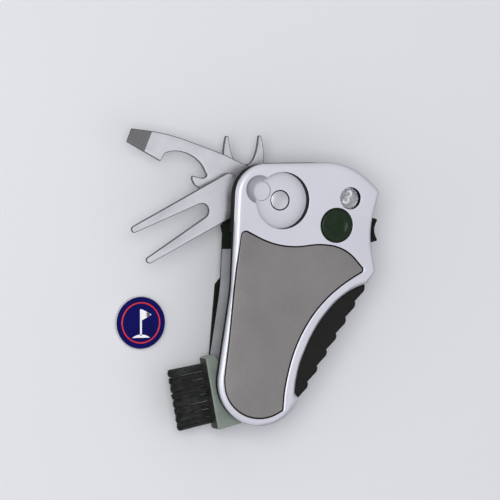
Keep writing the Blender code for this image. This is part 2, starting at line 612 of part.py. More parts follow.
def build_counter(parts, cutters, green, pale, clear, steel, wheel_low):
    """Push button, return spring, numeral wheel and window lens of the stroke counter."""
    top = Z_FACE + BUTTON_PROUD
    under = top - BUTTON_HEIGHT
    cap = turned(BUTTON, [(0.0, top - 0.7), (2.5, top - 0.55), (4.2, top - 0.15), (4.9, top),
                          (5.5, top - 0.1), (BUTTON_R, top - 0.6), (BUTTON_R, under),
                          (0.0, under)], "counter_button", parts, green, 40)
    stem = cylinder(COUNT_AXIS, STEM_R, Z_CHASSIS + 1.2, under + 0.5, "button_stem", cutters)
    boolean(cap, stem, "UNION")
    post_top = Z_LID
    wire = 0.2
    turns = 2
    steps = 20
    coil_low = post_top + wire - 0.05
    coil_high = under - wire - 0.15
    curve = bpy.data.curves.new("button_spring", "CURVE")
    curve.dimensions = "3D"
    curve.bevel_depth = wire * MM
    curve.bevel_resolution = 2
    curve.use_fill_caps = True
    spline = curve.splines.new("POLY")
    spline.points.add(turns * steps)
    for i, vertex in enumerate(spline.points):
        x, y = point(COUNT_AXIS, STEM_R + 0.5, 360.0 * i / steps)
        z = coil_low + (coil_high - coil_low) * i / (turns * steps)
        vertex.co = (x * MM, y * MM, z * MM, 1.0)
    spring = bpy.data.objects.new("button_spring", curve)
    parts.objects.link(spring)
    curve.materials.append(steel)
    wheel = cylinder(COUNT_AXIS, COUNT_WHEEL_R, wheel_low, wheel_low + COUNT_WHEEL_THICK,
                     "numeral_wheel", parts, pale, 60)
    boolean(wheel, cylinder(COUNT_AXIS, COUNT_POST_R + GAP, wheel_low - 1.0, Z_LID,
                            "wheel_bore", cutters))
    set_origin(wheel, COUNT_AXIS)
    cylinder(WINDOW, WINDOW_R - 0.2, Z_LID + 0.1, Z_LID + 0.1 + LENS_THICK, "window_lens",
             parts, clear)


def build_marker(parts, navy, steel):
    """Ball marker, off the tool and lying beside it, and the magnet that holds it."""
    turned(MARKER_CENTRE, [(0.0, MARKER_THICK), (MARKER_R - 0.3, MARKER_THICK),
                           (MARKER_R, MARKER_THICK - 0.3), (MARKER_R, 0.2),
                           (MARKER_R - 0.2, 0.0), (0.0, 0.0)], "ball_marker", parts, navy, 48)
    cylinder(SOCKET, MAGNET_R, Z_SOCKET - CUP_FLOOR, Z_SOCKET - 0.1, "socket_magnet", parts,
             steel)


def build_slider(parts, cutters, shell, dark):
    """Reset slider on the right side, with its slot through the side wall."""
    low, high = SLIDER_Y
    middle = (low + high) / 2.0
    head = rounded([(34.2, low + 0.6, 0.4), (SLIDER_REACH, low + 1.5, 0.5),
                    (SLIDER_REACH - 1.9, middle, 5.0), (SLIDER_REACH, high - 1.5, 0.5),
                    (34.6, high - 0.6, 0.4)])
    slider = slab(head, SLIDER_Z[0], SLIDER_Z[1], "reset_slider", parts, dark)
    neck = slab([(29.0, middle - 2.2), (35.6, middle - 2.2), (35.6, middle + 2.2),
                 (29.0, middle + 2.2)], SLIDER_Z[0] + 1.0, SLIDER_Z[1] - 1.0, "slider_neck",
                cutters)
    boolean(slider, neck, "UNION")
    shoe = slab([(27.6, middle - 4.0), (29.4, middle - 4.0), (29.4, middle + 4.0),
                 (27.6, middle + 4.0)], SLIDER_Z[0] - 0.5, SLIDER_Z[1] + 0.5, "slider_shoe",
                cutters)
    boolean(slider, shoe, "UNION")
    slot = slab([(29.0, middle - 4.7), (40.0, middle - 4.7), (40.0, middle + 4.7),
                 (29.0, middle + 4.7)], SLIDER_Z[0] + 0.7, SLIDER_Z[1] - 0.7, "slider_slot",
                cutters)
    boolean(shell, slot)


def build_grip(parts, cutters, along, out, toe, hip, side, rubber):
    """Rubber grip: a crescent on the front and a ribbed band down the side."""
    start = toe + 0.3
    pitch = (hip - start - 0.6) / GRIP_TEETH
    outer = []
    for i in range(GRIP_TEETH):
        foot = start + i * pitch
        outer.append(tuple(along * foot + out * (side - 0.2)))
        outer.append(tuple(along * (foot + pitch * 0.72) + out * (side + GRIP_TOOTH_DEPTH)))
        outer.append(tuple(along * (foot + pitch * 0.9) + out * (side + GRIP_TOOTH_DEPTH * 0.6)))
    outer.append(tuple(along * (hip - 0.4) + out * (side - 0.2)))
    inner = grip_inner(-GAP)
    top = Z_FACE - GRIP_TOP_SUNK
    crescent = slab(outer + inner[:-1], Z_CHASSIS, top, "rubber_grip", parts, rubber)
    taper = 3.0              # the band runs out to nothing over this length at each end
    base = [tuple(along * (hip - taper) + out * (side - GRIP_BAND)),
            tuple(along * (toe + taper) + out * (side - GRIP_BAND))]
    strip = slab(outer + base, Z_BACK + 2.0 + GAP, top - 0.4, "grip_band", cutters)
    boolean(crescent, strip, "UNION")
    bevel(crescent, 0.3, 50.0, 1)


def build_clip(parts, cutters, dark):
    """Moulded belt clip on the back, fixed at its top end; its outer face is the rest face."""
    plate = rounded([
        (-22.9, -34.0, 4.0), (13.5, -34.0, 4.0), (13.5, -2.0, 1.5), (11.0, 3.0, 1.5),
        (11.0, 19.0, 3.0), (-13.0, 19.0, 3.0), (-14.5, 4.0, 1.5), (-20.0, -2.0, 1.0)])
    clip = slab(plate, 0.0, CLIP_THICK, "belt_clip", parts, dark)
    bevel(clip, 0.35, 50.0, 1)
    root = slab(rounded([(-12.0, 8.0, 1.0), (10.0, 8.0, 1.0), (10.0, 18.0, 2.0),
                         (-12.0, 18.0, 2.0)]), CLIP_THICK - 0.6, Z_BACK - GAP, "clip_root",
                cutters)
    boolean(clip, root, "UNION")
    for i, centre in enumerate(CLIP_SCREWS):
        boolean(clip, turned(centre, [
            (0.0, Z_BACK + 1.0), (SCREW_R + GAP, Z_BACK + 1.0),
            (SCREW_R + GAP, SCREW_HEAD_THICK + 0.6), (SCREW_HEAD_R + GAP, SCREW_HEAD_THICK + 0.6),
            (SCREW_HEAD_R + GAP, -1.0), (0.0, -1.0)], f"clip_bore_{i}", cutters, sides=16))


def screw(centre, head_low, tip, name, parts, steel):
    """Pan-head screw driven from the back, its head at head_low."""
    turned(centre, [(0.0, tip), (SCREW_R * 0.6, tip), (SCREW_R, tip - 0.6),
                    (SCREW_R, head_low + SCREW_HEAD_THICK),
                    (SCREW_HEAD_R, head_low + SCREW_HEAD_THICK), (SCREW_HEAD_R, head_low + 0.3),
                    (SCREW_HEAD_R - 0.4, head_low), (0.0, head_low)], name, parts, steel, 16)


def build_screws(parts, steel):
    """Four case screws and two clip screws."""
    for i, centre in enumerate(CASE_SCREWS):
        screw(centre, Z_BACK + 0.1, Z_FACE - 1.8, f"case_screw_{i + 1}", parts, steel)
    for i, centre in enumerate(CLIP_SCREWS):
        screw(centre, 0.4, Z_FLOOR - 0.1, f"clip_screw_{i + 1}", parts, steel)


build()
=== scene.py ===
import math

import bmesh
import bpy
import numpy as np
from mathutils import Matrix, Vector
from mathutils.geometry import delaunay_2d_cdt


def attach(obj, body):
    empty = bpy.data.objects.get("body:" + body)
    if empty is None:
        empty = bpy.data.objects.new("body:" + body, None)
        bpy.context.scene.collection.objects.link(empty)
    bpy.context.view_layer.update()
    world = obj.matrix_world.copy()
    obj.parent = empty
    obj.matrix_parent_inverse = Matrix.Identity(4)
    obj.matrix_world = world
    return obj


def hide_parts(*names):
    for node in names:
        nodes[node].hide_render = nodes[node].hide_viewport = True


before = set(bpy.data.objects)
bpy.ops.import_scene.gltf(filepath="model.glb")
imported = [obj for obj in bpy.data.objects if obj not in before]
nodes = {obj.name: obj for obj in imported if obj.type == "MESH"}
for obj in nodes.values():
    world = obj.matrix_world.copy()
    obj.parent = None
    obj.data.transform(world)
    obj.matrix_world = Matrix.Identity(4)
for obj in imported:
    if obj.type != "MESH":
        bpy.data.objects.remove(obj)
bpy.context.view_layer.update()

# Camera ------------------------------------------------------------------------------------------
# A long lens, almost square on to the front face, from a little to its left and above, so that the
# open side of the case shows as a narrow strip. Its sizes are in metres.
tilt, lift = math.radians(22.0), math.radians(3.0)
right = Vector((math.cos(tilt), 0.0, math.sin(tilt)))
up = Vector((math.sin(tilt) * math.sin(lift), math.cos(lift), -math.cos(tilt) * math.sin(lift)))
towards = right.cross(up)
lens = bpy.data.cameras.new("camera")
lens.lens = 400.0
lens.sensor_width = 36.0
lens.clip_end = 20.0
field = 0.1818               # width of the view at the tool
camera = bpy.data.objects.new("camera", lens)
place = Vector((-0.0060, 0.0100, 0.0)) + towards * field * lens.lens / lens.sensor_width
camera.matrix_world = Matrix((
    (right.x, up.x, towards.x, place.x),
    (right.y, up.y, towards.y, place.y),
    (right.z, up.z, towards.z, place.z),
    (0.0, 0.0, 0.0, 1.0)))
bpy.context.scene.collection.objects.link(camera)
bpy.context.scene.camera = camera

# Studio ------------------------------------------------------------------------------------------
# A pale matt table top, a wide soft box over the left shoulder, a low strip on the left, a weak
# box on the right, and an even pale surround.
bpy.context.scene.view_settings.view_transform = "Standard"
world = bpy.data.worlds.new("surround")
world.use_nodes = True
world.node_tree.nodes["Background"].inputs["Color"].default_value = (0.93, 0.94, 1.0, 1.0)
world.node_tree.nodes["Background"].inputs["Strength"].default_value = 0.6
bpy.context.scene.world = world


def soft_box(name, place, width, height, power, colour):
    """Rectangular area light at a place in metres, aimed at the middle of the tool."""
    light = bpy.data.lights.new(name, "AREA")
    light.shape = "RECTANGLE"
    light.size = width
    light.size_y = height
    light.energy = power
    light.color = colour
    made = bpy.data.objects.new(name, light)
    aim = Vector((-0.006, 0.0, 0.01)) - Vector(place)
    made.matrix_world = Matrix.Translation(place) @ aim.to_track_quat("-Z", "Y").to_matrix().to_4x4()
    bpy.context.scene.collection.objects.link(made)


soft_box("key_box", (-0.62, 0.16, 1.3), 0.8, 0.8, 10.8, (1.0, 0.99, 0.98))
soft_box("side_box", (-0.9, -0.1, 0.3), 0.8, 0.3, 0.8, (0.97, 0.98, 1.0))
soft_box("fill_box", (0.8, -0.4, 1.0), 0.9, 0.9, 1.0, (0.93, 0.95, 1.0))


def put(tree, kind, inputs=None, **settings):
    """Adds a node to a tree. inputs gives each socket's value, or the socket that feeds it."""
    made = tree.nodes.new(kind)
    for key, value in settings.items():
        setattr(made, key, value)
    for key, value in (inputs or {}).items():
        if isinstance(value, bpy.types.NodeSocket):
            tree.links.new(value, made.inputs[key])
        else:
            made.inputs[key].default_value = value
    return made


def new_finish(name):
    """Empty material: its tree, its Principled shader and the Object coordinates that feed it."""
    made = bpy.data.materials.new(name)
    made.use_nodes = True
    tree = made.node_tree
    shader = tree.nodes["Principled BSDF"]
    place = put(tree, "ShaderNodeTexCoord").outputs["Object"]
    return made, tree, shader, place


def new_effect(name, inputs, outputs):
    """Empty shader node group with named inputs and outputs: its tree and its two end nodes."""
    tree = bpy.data.node_groups.new(name, "ShaderNodeTree")
    for label, kind, value in inputs:
        socket = tree.interface.new_socket(label, in_out="INPUT", socket_type=kind)
        if value is not None:
            socket.default_value = value
    for label, kind in outputs:
        tree.interface.new_socket(label, in_out="OUTPUT", socket_type=kind)
    return tree, tree.nodes.new("NodeGroupInput"), tree.nodes.new("NodeGroupOutput")


def effect(tree, group, inputs):
    """Places an effect in a material's tree, with its own values."""
    return put(tree, "ShaderNodeGroup", inputs, node_tree=group)


# Grain: fine moulded or painted surface. A quick noise gives the grain's height, and a slow one
# the drift from patch to patch.
grain, ends_in, ends_out = new_effect(
    "surface_grain",
    [("Place", "NodeSocketVector", None), ("Grain Scale", "NodeSocketFloat", 4000.0),
     ("Drift Scale", "NodeSocketFloat", 60.0), ("Dark", "NodeSocketColor", (0.5, 0.5, 0.5, 1.0)),
     ("Light", "NodeSocketColor", (0.6, 0.6, 0.6, 1.0)),
     ("Smooth", "NodeSocketFloat", 0.3), ("Rough", "NodeSocketFloat", 0.5)],
    [("Colour", "NodeSocketColor"), ("Roughness", "NodeSocketFloat"), ("Height", "NodeSocketFloat")])
quick = put(grain, "ShaderNodeTexNoise", {
    "Vector": ends_in.outputs["Place"], "Scale": ends_in.outputs["Grain Scale"],
    "Detail": 3.0, "Roughness": 0.6})
slow = put(grain, "ShaderNodeTexNoise", {
    "Vector": ends_in.outputs["Place"], "Scale": ends_in.outputs["Drift Scale"], "Detail": 2.0})
both = put(grain, "ShaderNodeMath", {0: quick.outputs["Fac"], 1: slow.outputs["Fac"]},
           operation="ADD")
share = put(grain, "ShaderNodeMapRange", {"Value": both.outputs[0], "From Min": 0.7, "From Max": 1.3})
shade = put(grain, "ShaderNodeMix", {"Factor": share.outputs[0], 6: ends_in.outputs["Dark"],
                                     7: ends_in.outputs["Light"]}, data_type="RGBA")
gloss = put(grain, "ShaderNodeMapRange", {
    "Value": slow.outputs["Fac"], "From Min": 0.3, "From Max": 0.7,
    "To Min": ends_in.outputs["Smooth"], "To Max": ends_in.outputs["Rough"]})
grain.links.new(shade.outputs[2], ends_out.inputs["Colour"])
grain.links.new(gloss.outputs[0], ends_out.inputs["Roughness"])
grain.links.new(quick.outputs["Fac"], ends_out.inputs["Height"])


def add_bump(tree, shader, height, strength, depth):
    """Bump of a strength and a depth in metres, from a height socket."""
    bump = put(tree, "ShaderNodeBump", {"Strength": strength, "Distance": depth, "Height": height})
    tree.links.new(bump.outputs[0], shader.inputs["Normal"])


def grained(name, scales, dark, light, gloss, bump=None, **values):
    """Finish from the grain effect. scales are its grain's and drift's, gloss its least and most
    roughness, bump a strength and a depth in metres, and values go to the shader's other sockets,
    with _ for a space."""
    made, tree, shader, place = new_finish(name)
    worked = effect(tree, grain, {
        "Place": place, "Grain Scale": scales[0], "Drift Scale": scales[1], "Dark": (*dark, 1.0),
        "Light": (*light, 1.0), "Smooth": gloss[0], "Rough": gloss[1]})
    tree.links.new(worked.outputs["Colour"], shader.inputs["Base Color"])
    tree.links.new(worked.outputs["Roughness"], shader.inputs["Roughness"])
    if bump:
        add_bump(tree, shader, worked.outputs["Height"], *bump)
    for key, value in values.items():
        shader.inputs[key.replace("_", " ")].default_value = value
    return made


table_paper = grained("table_paper", (900.0, 6.0), (0.69, 0.695, 0.715), (0.71, 0.715, 0.735),
                      (0.8, 0.9))
half, under = 3.0, -0.0001   # half the table's width, and a hair under the tool's rest height
mesh = bpy.data.meshes.new("table_top")
mesh.from_pydata([(-half, -half, under), (half, -half, under), (half, half, under),
                  (-half, half, under)], [], [(0, 1, 2, 3)])
mesh.materials.append(table_paper)
table_top = bpy.data.objects.new("table_top", mesh)
bpy.context.scene.collection.objects.link(table_top)

# Front shell -------------------------------------------------------------------------------------
# One ABS moulding sprayed satin silver. Its face rolls over at the outer edge, has a soft lip round
# the grey panel, and slopes down to the rubber; the marker socket, its thumb scoop, the counter
# window and the button hole are cut into it.
MM = 0.001
LARGE = 60.0                 # radius for a corner that only bends a curve
FINE_BUMP = 0.00002          # depth of the finest bump, in metres


def outline_through(corners, step=4.0, closed=True):
    """Outline through corners (x, y, radius), in millimetres. Each corner becomes the arc that
    touches both its sides; radii too big for a side are cut alike to fit. step is in degrees."""
    corner = np.array(corners, float)
    here, size = corner[:, :2], corner[:, 2]
    back = np.roll(here, 1, 0) - here
    ahead = np.roll(here, -1, 0) - here
    back_length = np.linalg.norm(back, axis=1)
    ahead_length = np.linalg.norm(ahead, axis=1)
    back = back / back_length[:, None]
    ahead = ahead / ahead_length[:, None]
    half_angle = 0.5 * np.arccos(np.clip((back * ahead).sum(1), -1.0, 1.0))
    reach = size / np.tan(half_angle)
    fit = np.minimum(1.0, 0.98 * ahead_length / np.maximum(reach + np.roll(reach, -1), 1e-9))
    radius = size * np.minimum(fit, np.roll(fit, 1))
    middle = back + ahead
    middle = middle / np.linalg.norm(middle, axis=1)[:, None]
    centre = here + middle * (radius / np.sin(half_angle))[:, None]
    start = here + back * (radius / np.tan(half_angle))[:, None] - centre
    turn = np.pi - 2.0 * half_angle
    side = -np.sign(back[:, 0] * ahead[:, 1] - back[:, 1] * ahead[:, 0])
    parts = []
    for i in range(len(corner)):
        if radius[i] < 0.01 or (not closed and i in (0, len(corner) - 1)):
            parts.append(here[i][None])
            continue
        steps = max(2, round(math.degrees(turn[i]) / step))
        angle = side[i] * turn[i] * np.linspace(0.0, 1.0, steps + 1)
        cos, sin = np.cos(angle), np.sin(angle)
        parts.append(centre[i] + np.stack([start[i, 0] * cos - start[i, 1] * sin,
                                           start[i, 0] * sin + start[i, 1] * cos], 1))
    return np.concatenate(parts)


def even(loop, spacing):
    """Closed outline with each side split into equal steps no longer than the spacing."""
    way = np.roll(loop, -1, 0) - loop
    count = np.maximum(1, np.ceil(np.linalg.norm(way, axis=1) / spacing)).astype(int)
    which = np.repeat(np.arange(len(loop)), count)
    share = (np.arange(count.sum()) - np.repeat(np.cumsum(count) - count, count)) / count[which]
    return loop[which] + way[which] * share[:, None]


def offset(loop, distance):
    """Closed anticlockwise outline moved outwards: each point goes along its own normal."""
    way = np.roll(loop, -1, 0) - np.roll(loop, 1, 0)
    way = way / np.linalg.norm(way, axis=1)[:, None]
    return loop + np.stack([way[:, 1], -way[:, 0]], 1) * distance


def away_from(points, path, closed=True):
    """Distance from each point to a path: the least distance to any of its sides."""
    start = path if closed else path[:-1]
    way = (np.roll(path, -1, 0) if closed else path[1:]) - start
    out = np.empty(len(points))
    for first in range(0, len(points), 3000):
        gap = points[first:first + 3000, None] - start
        share = np.clip((gap * way).sum(2) / (way ** 2).sum(1), 0.0, 1.0)
        out[first:first + 3000] = np.sqrt(((gap - share[..., None] * way) ** 2).sum(2)).min(1)
    return out


def within(points, loop):
    """True for points inside a closed outline: a ray along +x meets it an odd number of times."""
    ahead = np.roll(loop, -1, 0)
    y = points[:, 1, None]
    crosses = (loop[:, 1] > y) != (ahead[:, 1] > y)
    rise = np.where(ahead[:, 1] == loop[:, 1], 1.0, ahead[:, 1] - loop[:, 1])
    at = loop[:, 0] + (y - loop[:, 1]) * (ahead[:, 0] - loop[:, 0]) / rise
    return (crosses & (points[:, 0, None] < at)).sum(1) % 2 == 1


def skin(loops, height, rings=(), pitch=6.0, up_side=True):
    """Surface z = height(x, y) over the plan inside the first outline and outside the others, as
    triangles. Rows of points run beside each outline at the ring distances, as far as they are
    nearer to it than to any other, and an even grid of points a pitch apart fills the rest."""
    points, sides, count = [], [], 0
    for loop in loops:
        points.append(loop)
        index = np.arange(len(loop)) + count
        sides.append(np.stack([index, np.roll(index, -1)], 1))
        count += len(loop)

    def open_plan(at):
        keep = within(at, loops[0])
        for loop in loops[1:]:
            keep &= ~within(at, loop)
        return keep

    def clear(at):
        gap = np.full(len(at), np.inf)
        for loop in loops:
            gap = np.minimum(gap, away_from(at, loop))
        return gap

    for i, loop in enumerate(loops):
        ahead = np.roll(loop, -1, 0)
        side = np.sign((loop[:, 0] * ahead[:, 1] - ahead[:, 0] * loop[:, 1]).sum())
        for ring in rings:
            row = offset(loop, side * (-ring if i == 0 else ring))
            row = row[open_plan(row)]
            keep = away_from(row, loop) > 0.93 * ring
            for other in loops[:i] + loops[i + 1:]:
                keep &= away_from(row, other) > ring + 0.2
            points.append(row[keep])
    low, high = loops[0].min(0), loops[0].max(0)
    x, y = np.meshgrid(np.arange(low[0], high[0], pitch), np.arange(low[1], high[1], pitch * 0.87))
    x = x + (np.arange(len(y)) % 2)[:, None] * pitch / 2.0
    grid = np.stack([x.ravel(), y.ravel()], 1)
    grid = grid[open_plan(grid)]
    points.append(grid[clear(grid) > (max(rings) if rings else 0.0) + 0.45 * pitch])
    fixed = len(loops)
    loose = np.concatenate(points[fixed:])
    cell = np.unique(np.round(loose / 0.02), axis=0, return_index=True)[1] if len(loose) else []
    flat = np.concatenate(points[:fixed] + [loose[np.sort(cell)]] if len(loose) else points)
    result = delaunay_2d_cdt([Vector(p) for p in flat], np.concatenate(sides).tolist(), [], 0, 1e-7)
    flat = np.array([tuple(v) for v in result[0]])
    faces = np.array([tuple(f) for f in result[2]])
    faces = faces[open_plan(flat[faces].mean(1))]
    a, b, c = flat[faces[:, 0]], flat[faces[:, 1]], flat[faces[:, 2]]
    area = (b[:, 0] - a[:, 0]) * (c[:, 1] - a[:, 1]) - (b[:, 1] - a[:, 1]) * (c[:, 0] - a[:, 0])
    faces[(area < 0.0) == up_side] = faces[(area < 0.0) == up_side][:, ::-1]
    return np.column_stack([flat, height(flat)]), faces


def wall(loop, low, high):
    """Upright strip round an outline, between two heights (each a number or one per point)."""
    count = len(loop)
    low = np.broadcast_to(low, count)
    high = np.broadcast_to(high, count)
    index = np.arange(count)
    ahead = np.roll(index, -1)
    return (np.concatenate([np.column_stack([loop, low]), np.column_stack([loop, high])]),
            np.stack([index, ahead, ahead + count, index + count], 1))


def level(height):
    """Height field of a flat face."""
    return lambda points: np.full(len(points), height)


def piece_of(name, patches, finishes, smooth=32.0):
    """Object from patches of (points in millimetres, faces): their shared edges are merged, the
    faces turned outwards, and edges sharper than the smooth angle kept crisp. A patch may have a
    third member, the number of its finish."""
    mesh = bpy.data.meshes.new(name)
    points, faces, slots, count = [], [], [], 0
    for patch in patches:
        points.append(patch[0])
        faces += (patch[1] + count).tolist()
        slots += [patch[2] if len(patch) > 2 else 0] * len(patch[1])
        count += len(patch[0])
    mesh.from_pydata((np.concatenate(points) * MM).tolist(), [], faces)
    mesh.polygons.foreach_set("material_index", slots)
    shape = bmesh.new()
    shape.from_mesh(mesh)
    bmesh.ops.remove_doubles(shape, verts=shape.verts, dist=2e-7)
    bmesh.ops.recalc_face_normals(shape, faces=shape.faces)
    shape.to_mesh(mesh)
    shape.free()
    mesh.shade_smooth()
    mesh.set_sharp_from_angle(angle=math.radians(smooth))
    made = bpy.data.objects.new(name, mesh)
    for finish in finishes:
        mesh.materials.append(finish)
    bpy.context.scene.collection.objects.link(made)
    return made


def moulding(name, loops, top, bottom, finishes, rings=(0.06, 0.16, 0.32), pitch=6.0,
             spacing=0.8, smooth=32.0):
    """Closed solid between two height fields, top(x, y) and bottom(x, y), over one plan: the first
    outline runs anticlockwise, and any others are holes through it."""
    loops = [even(loop, spacing) for loop in loops]
    patches = [skin(loops, top, rings, pitch), skin(loops, bottom, rings, pitch, False)]
    patches += [wall(loop, bottom(loop), top(loop)) for loop in loops]
    return piece_of(name, patches, finishes, smooth)


def turned(centre, profile, sides=96):
    """Profile of (radius, height) points turned about an upright axis: x = cx + r cos a and
    y = cy + r sin a, with a running once round. Radius 0 closes a pole."""
    profile = np.array(profile, float)
    angle = np.linspace(0.0, 2.0 * np.pi, sides, endpoint=False)
    x = centre[0] + profile[:, 0, None] * np.cos(angle)
    y = centre[1] + profile[:, 0, None] * np.sin(angle)
    z = np.broadcast_to(profile[:, 1, None], x.shape)
    index = np.arange(len(profile) * sides).reshape(len(profile), sides)
    ahead = np.roll(index, -1, 1)
    faces = np.stack([index[:-1], ahead[:-1], ahead[1:], index[1:]], -1).reshape(-1, 4)
    return np.stack([x, y, z], -1).reshape(-1, 3), faces


def bend(centre, radius, start, end, steps=6):
    """Points of an arc in a profile: centre (r, z), radius, and two angles in degrees."""
    angle = np.radians(np.linspace(start, end, steps + 1))
    return [(centre[0] + radius * math.cos(a), centre[1] + radius * math.sin(a)) for a in angle]


def carve(piece, cutters, operation="DIFFERENCE", smooth=40.0):
    """Exact Boolean of a piece with solids that are then thrown away."""
    for cutter in cutters:
        step = piece.modifiers.new(cutter.name, "BOOLEAN")
        step.operation = operation
        step.solver = "EXACT"
        step.material_mode = "TRANSFER"
        step.object = cutter
    bpy.context.view_layer.update()
    evaluated = piece.evaluated_get(bpy.context.evaluated_depsgraph_get())
    piece.data = bpy.data.meshes.new_from_object(evaluated)
    piece.modifiers.clear()
    for cutter in cutters:
        bpy.data.objects.remove(cutter)
    piece.data.shade_smooth()
    piece.data.set_sharp_from_angle(angle=math.radians(smooth))


def roll(distance, reach, drop):
    """Quarter-ellipse roll-over: how far a face has dropped at a distance from its edge."""
    share = np.clip(1.0 - distance / reach, 0.0, 1.0)
    return drop * (1.0 - np.sqrt(1.0 - share ** 2))


silver_paint, tree, shader, place = new_finish("silver_paint")
flake = effect(tree, grain, {
    "Place": place, "Grain Scale": 9000.0, "Drift Scale": 40.0, "Dark": (0.60, 0.597, 0.655, 1.0),
    "Light": (0.66, 0.655, 0.715, 1.0), "Smooth": 0.36, "Rough": 0.44})
# Painted shade: the metal flake colour darkens towards grey where the surface turns away from the view,
# standing in for the shading on the lid's sides and in the scoop.
lean = put(tree, "ShaderNodeLayerWeight", {"Blend": 0.5})
painted_turn_shade = put(tree, "ShaderNodeMapRange", {"Value": lean.outputs["Facing"], "From Min": 0.3,
                                        "From Max": 0.8})
turn = put(tree, "ShaderNodeMix", {"Factor": painted_turn_shade.outputs[0], 6: flake.outputs["Colour"],
                                   7: (0.25, 0.25, 0.28, 1.0)}, data_type="RGBA")
tree.links.new(turn.outputs[2], shader.inputs["Base Color"])
tree.links.new(flake.outputs["Roughness"], shader.inputs["Roughness"])
shader.inputs["Metallic"].default_value = 0.3
shader.inputs["Coat Weight"].default_value = 0.08
shader.inputs["Coat Roughness"].default_value = 0.2
add_bump(tree, shader, flake.outputs["Height"], 0.06, FINE_BUMP)
# Painted shade: the walls of the panel recess, the socket, dimple, button hole, window and magnet seat
# are coloured near-black, standing in for the shade inside them.
painted_wall_shade = grained("painted_wall_shade", (3000.0, 80.0), (0.003, 0.003, 0.003), (0.007, 0.008, 0.008),
                     (0.5, 0.65), Specular_IOR_Level=0.12)

FACE, LID_BACK = 22.0, 19.6  # heights of the lid's highest face and of its flat back
PANEL_FLOOR = 20.8           # floor of the panel's recess
SILVER_LIP_DEPTH = 0.12            # depth of silver at the top of that recess's wall; below it the wall is painted dark as shade
grip_curve = outline_through([
    (31.2, -2.0, 0.0), (26.2, -3.2, LARGE), (19.0, -8.4, LARGE), (13.1, -14.9, LARGE),
    (9.1, -21.4, LARGE), (5.2, -30.1, LARGE), (3.5, -37.0, LARGE), (3.2, -41.0, 2.5),
    (4.8, -43.1, 0.0)], closed=False)
case_corners = [(34.5, 2.6, 2.0), (31.9, 17.0, 30.0), (36.2, 31.6, 2.0), (24.5, 42.2, 25.0),
                (-19.1, 42.2, 11.5), (-21.3, -3.0, 60.0), (-29.3, -52.4, 16.0),
                (-1.1, -52.4, 16.0)]
case_plan = outline_through(case_corners)
lid_plan = np.concatenate([case_plan, [(4.86, -43.2)], grip_curve[::-1], [(31.43, -2.15)]])
panel_plan = outline_through([
    (-10.5, -49.5, LARGE), (-6.2, -48.9, LARGE), (-2.2, -46.8, 1.2), (-1.8, -40.0, LARGE),
    (-0.6, -35.0, LARGE), (1.8, -25.5, LARGE), (7.7, -14.7, LARGE), (15.0, -6.2, LARGE),
    (23.2, -0.5, LARGE), (29.6, 3.0, 1.6), (24.0, 9.4, LARGE), (18.5, 11.8, LARGE),
    (12.0, 12.6, LARGE), (4.0, 11.7, LARGE), (-3.1, 12.2, LARGE), (-9.5, 14.4, LARGE),
    (-17.6, 18.6, 1.5), (-19.6, 5.0, LARGE), (-22.5, -21.2, LARGE), (-24.4, -35.5, LARGE),
    (-23.8, -40.5, LARGE), (-21.5, -44.6, LARGE), (-18.0, -47.5, LARGE), (-14.5, -49.0, LARGE)])
recess_plan = even(offset(even(panel_plan, 0.6), 0.5), 0.6)
lid_plan = even(lid_plan, 0.6)
rim_line = np.array([
    (34.3, 2.6), (30.4, -0.7), (25.7, -2.0), (18.0, -7.4), (12.0, -14.0), (8.0, -20.7),
    (3.8, -29.7), (2.1, -37.0), (1.8, -40.8), (1.2, -43.3), (0.0, -46.0), (-2.0, -48.4),
    (-5.4, -50.4), (-11.0, -51.8), (-16.0, -53.0)])
# The rubber's side of the rim line, where the face slopes down.
flank_plan = np.concatenate([rim_line, [(-16.0, -70.0), (70.0, -70.0), (70.0, 2.6)]])


def shell_top(points):
    """Face height: the roll-over of the outer edge, or the slope from the rim line down to the
    edge where that is lower, less the soft lip beside the panel."""
    edge = away_from(points, lid_plan)
    beyond = np.where(within(points, flank_plan), away_from(points, rim_line, False), 0.0)
    slope = 1.65 * (beyond / (beyond + edge + 1e-6)) ** 1.4
    outer = roll(edge, 1.8, 1.4)
    low = 0.5 * (outer + slope + np.sqrt((outer - slope) ** 2 + 0.06 * np.minimum(outer, slope)))
    lip = roll(away_from(points, recess_plan), 0.9, 0.32)
    lip = lip * np.clip((14.0 - points[:, 1]) / 10.0, 0.25, 1.0)
    return FACE - low - lip


rings = (0.05, 0.13, 0.27, 0.46, 0.72, 1.05, 1.45, 1.95)
shell = piece_of("front_shell_skin", [
    skin([lid_plan, recess_plan], shell_top, rings, 1.6),
    skin([lid_plan], level(LID_BACK), (), 6.0, False),
    skin([recess_plan], level(PANEL_FLOOR), (), 6.0) + (1,),
    wall(lid_plan, LID_BACK, shell_top(lid_plan)),
    wall(recess_plan, PANEL_FLOOR, shell_top(recess_plan) - SILVER_LIP_DEPTH) + (1,),
    wall(recess_plan, shell_top(recess_plan) - SILVER_LIP_DEPTH, shell_top(recess_plan)),
], [silver_paint, painted_wall_shade], 40.0)
socket, button_centre, window_centre = (-2.0, 28.8), (19.0, 19.5), (24.4, 29.2)
cup = piece_of("cup", [turned(socket, [(0, 21.3), (11.2, 21.3), (11.2, 17.9), (0, 17.9)], 96)],
               [silver_paint])
carve(shell, [cup], "UNION")


def bore_cutter(name, centre, floor, wall_radius, lip, sides=96, foot=0.1):
    """Round cutter: a silver floor, a wall painted dark as shade up to the lip, and a silver flare for
    the lip.
    """
    silver = turned(centre, [(0, floor), (wall_radius - foot, floor)], sides)
    dark = turned(centre, [(wall_radius - foot, floor), (wall_radius, floor + foot),
                           (wall_radius, FACE - lip - 0.05)], sides)
    flare = turned(centre, [(wall_radius, FACE - lip - 0.05)]
                   + bend((wall_radius + lip, FACE - lip), lip, 180, 90)
                   + [(wall_radius + lip + 0.2, FACE + 1.5), (0, FACE + 1.5)], sides)
    return piece_of(name, [silver, dark + (1,), flare], [silver_paint, painted_wall_shade])
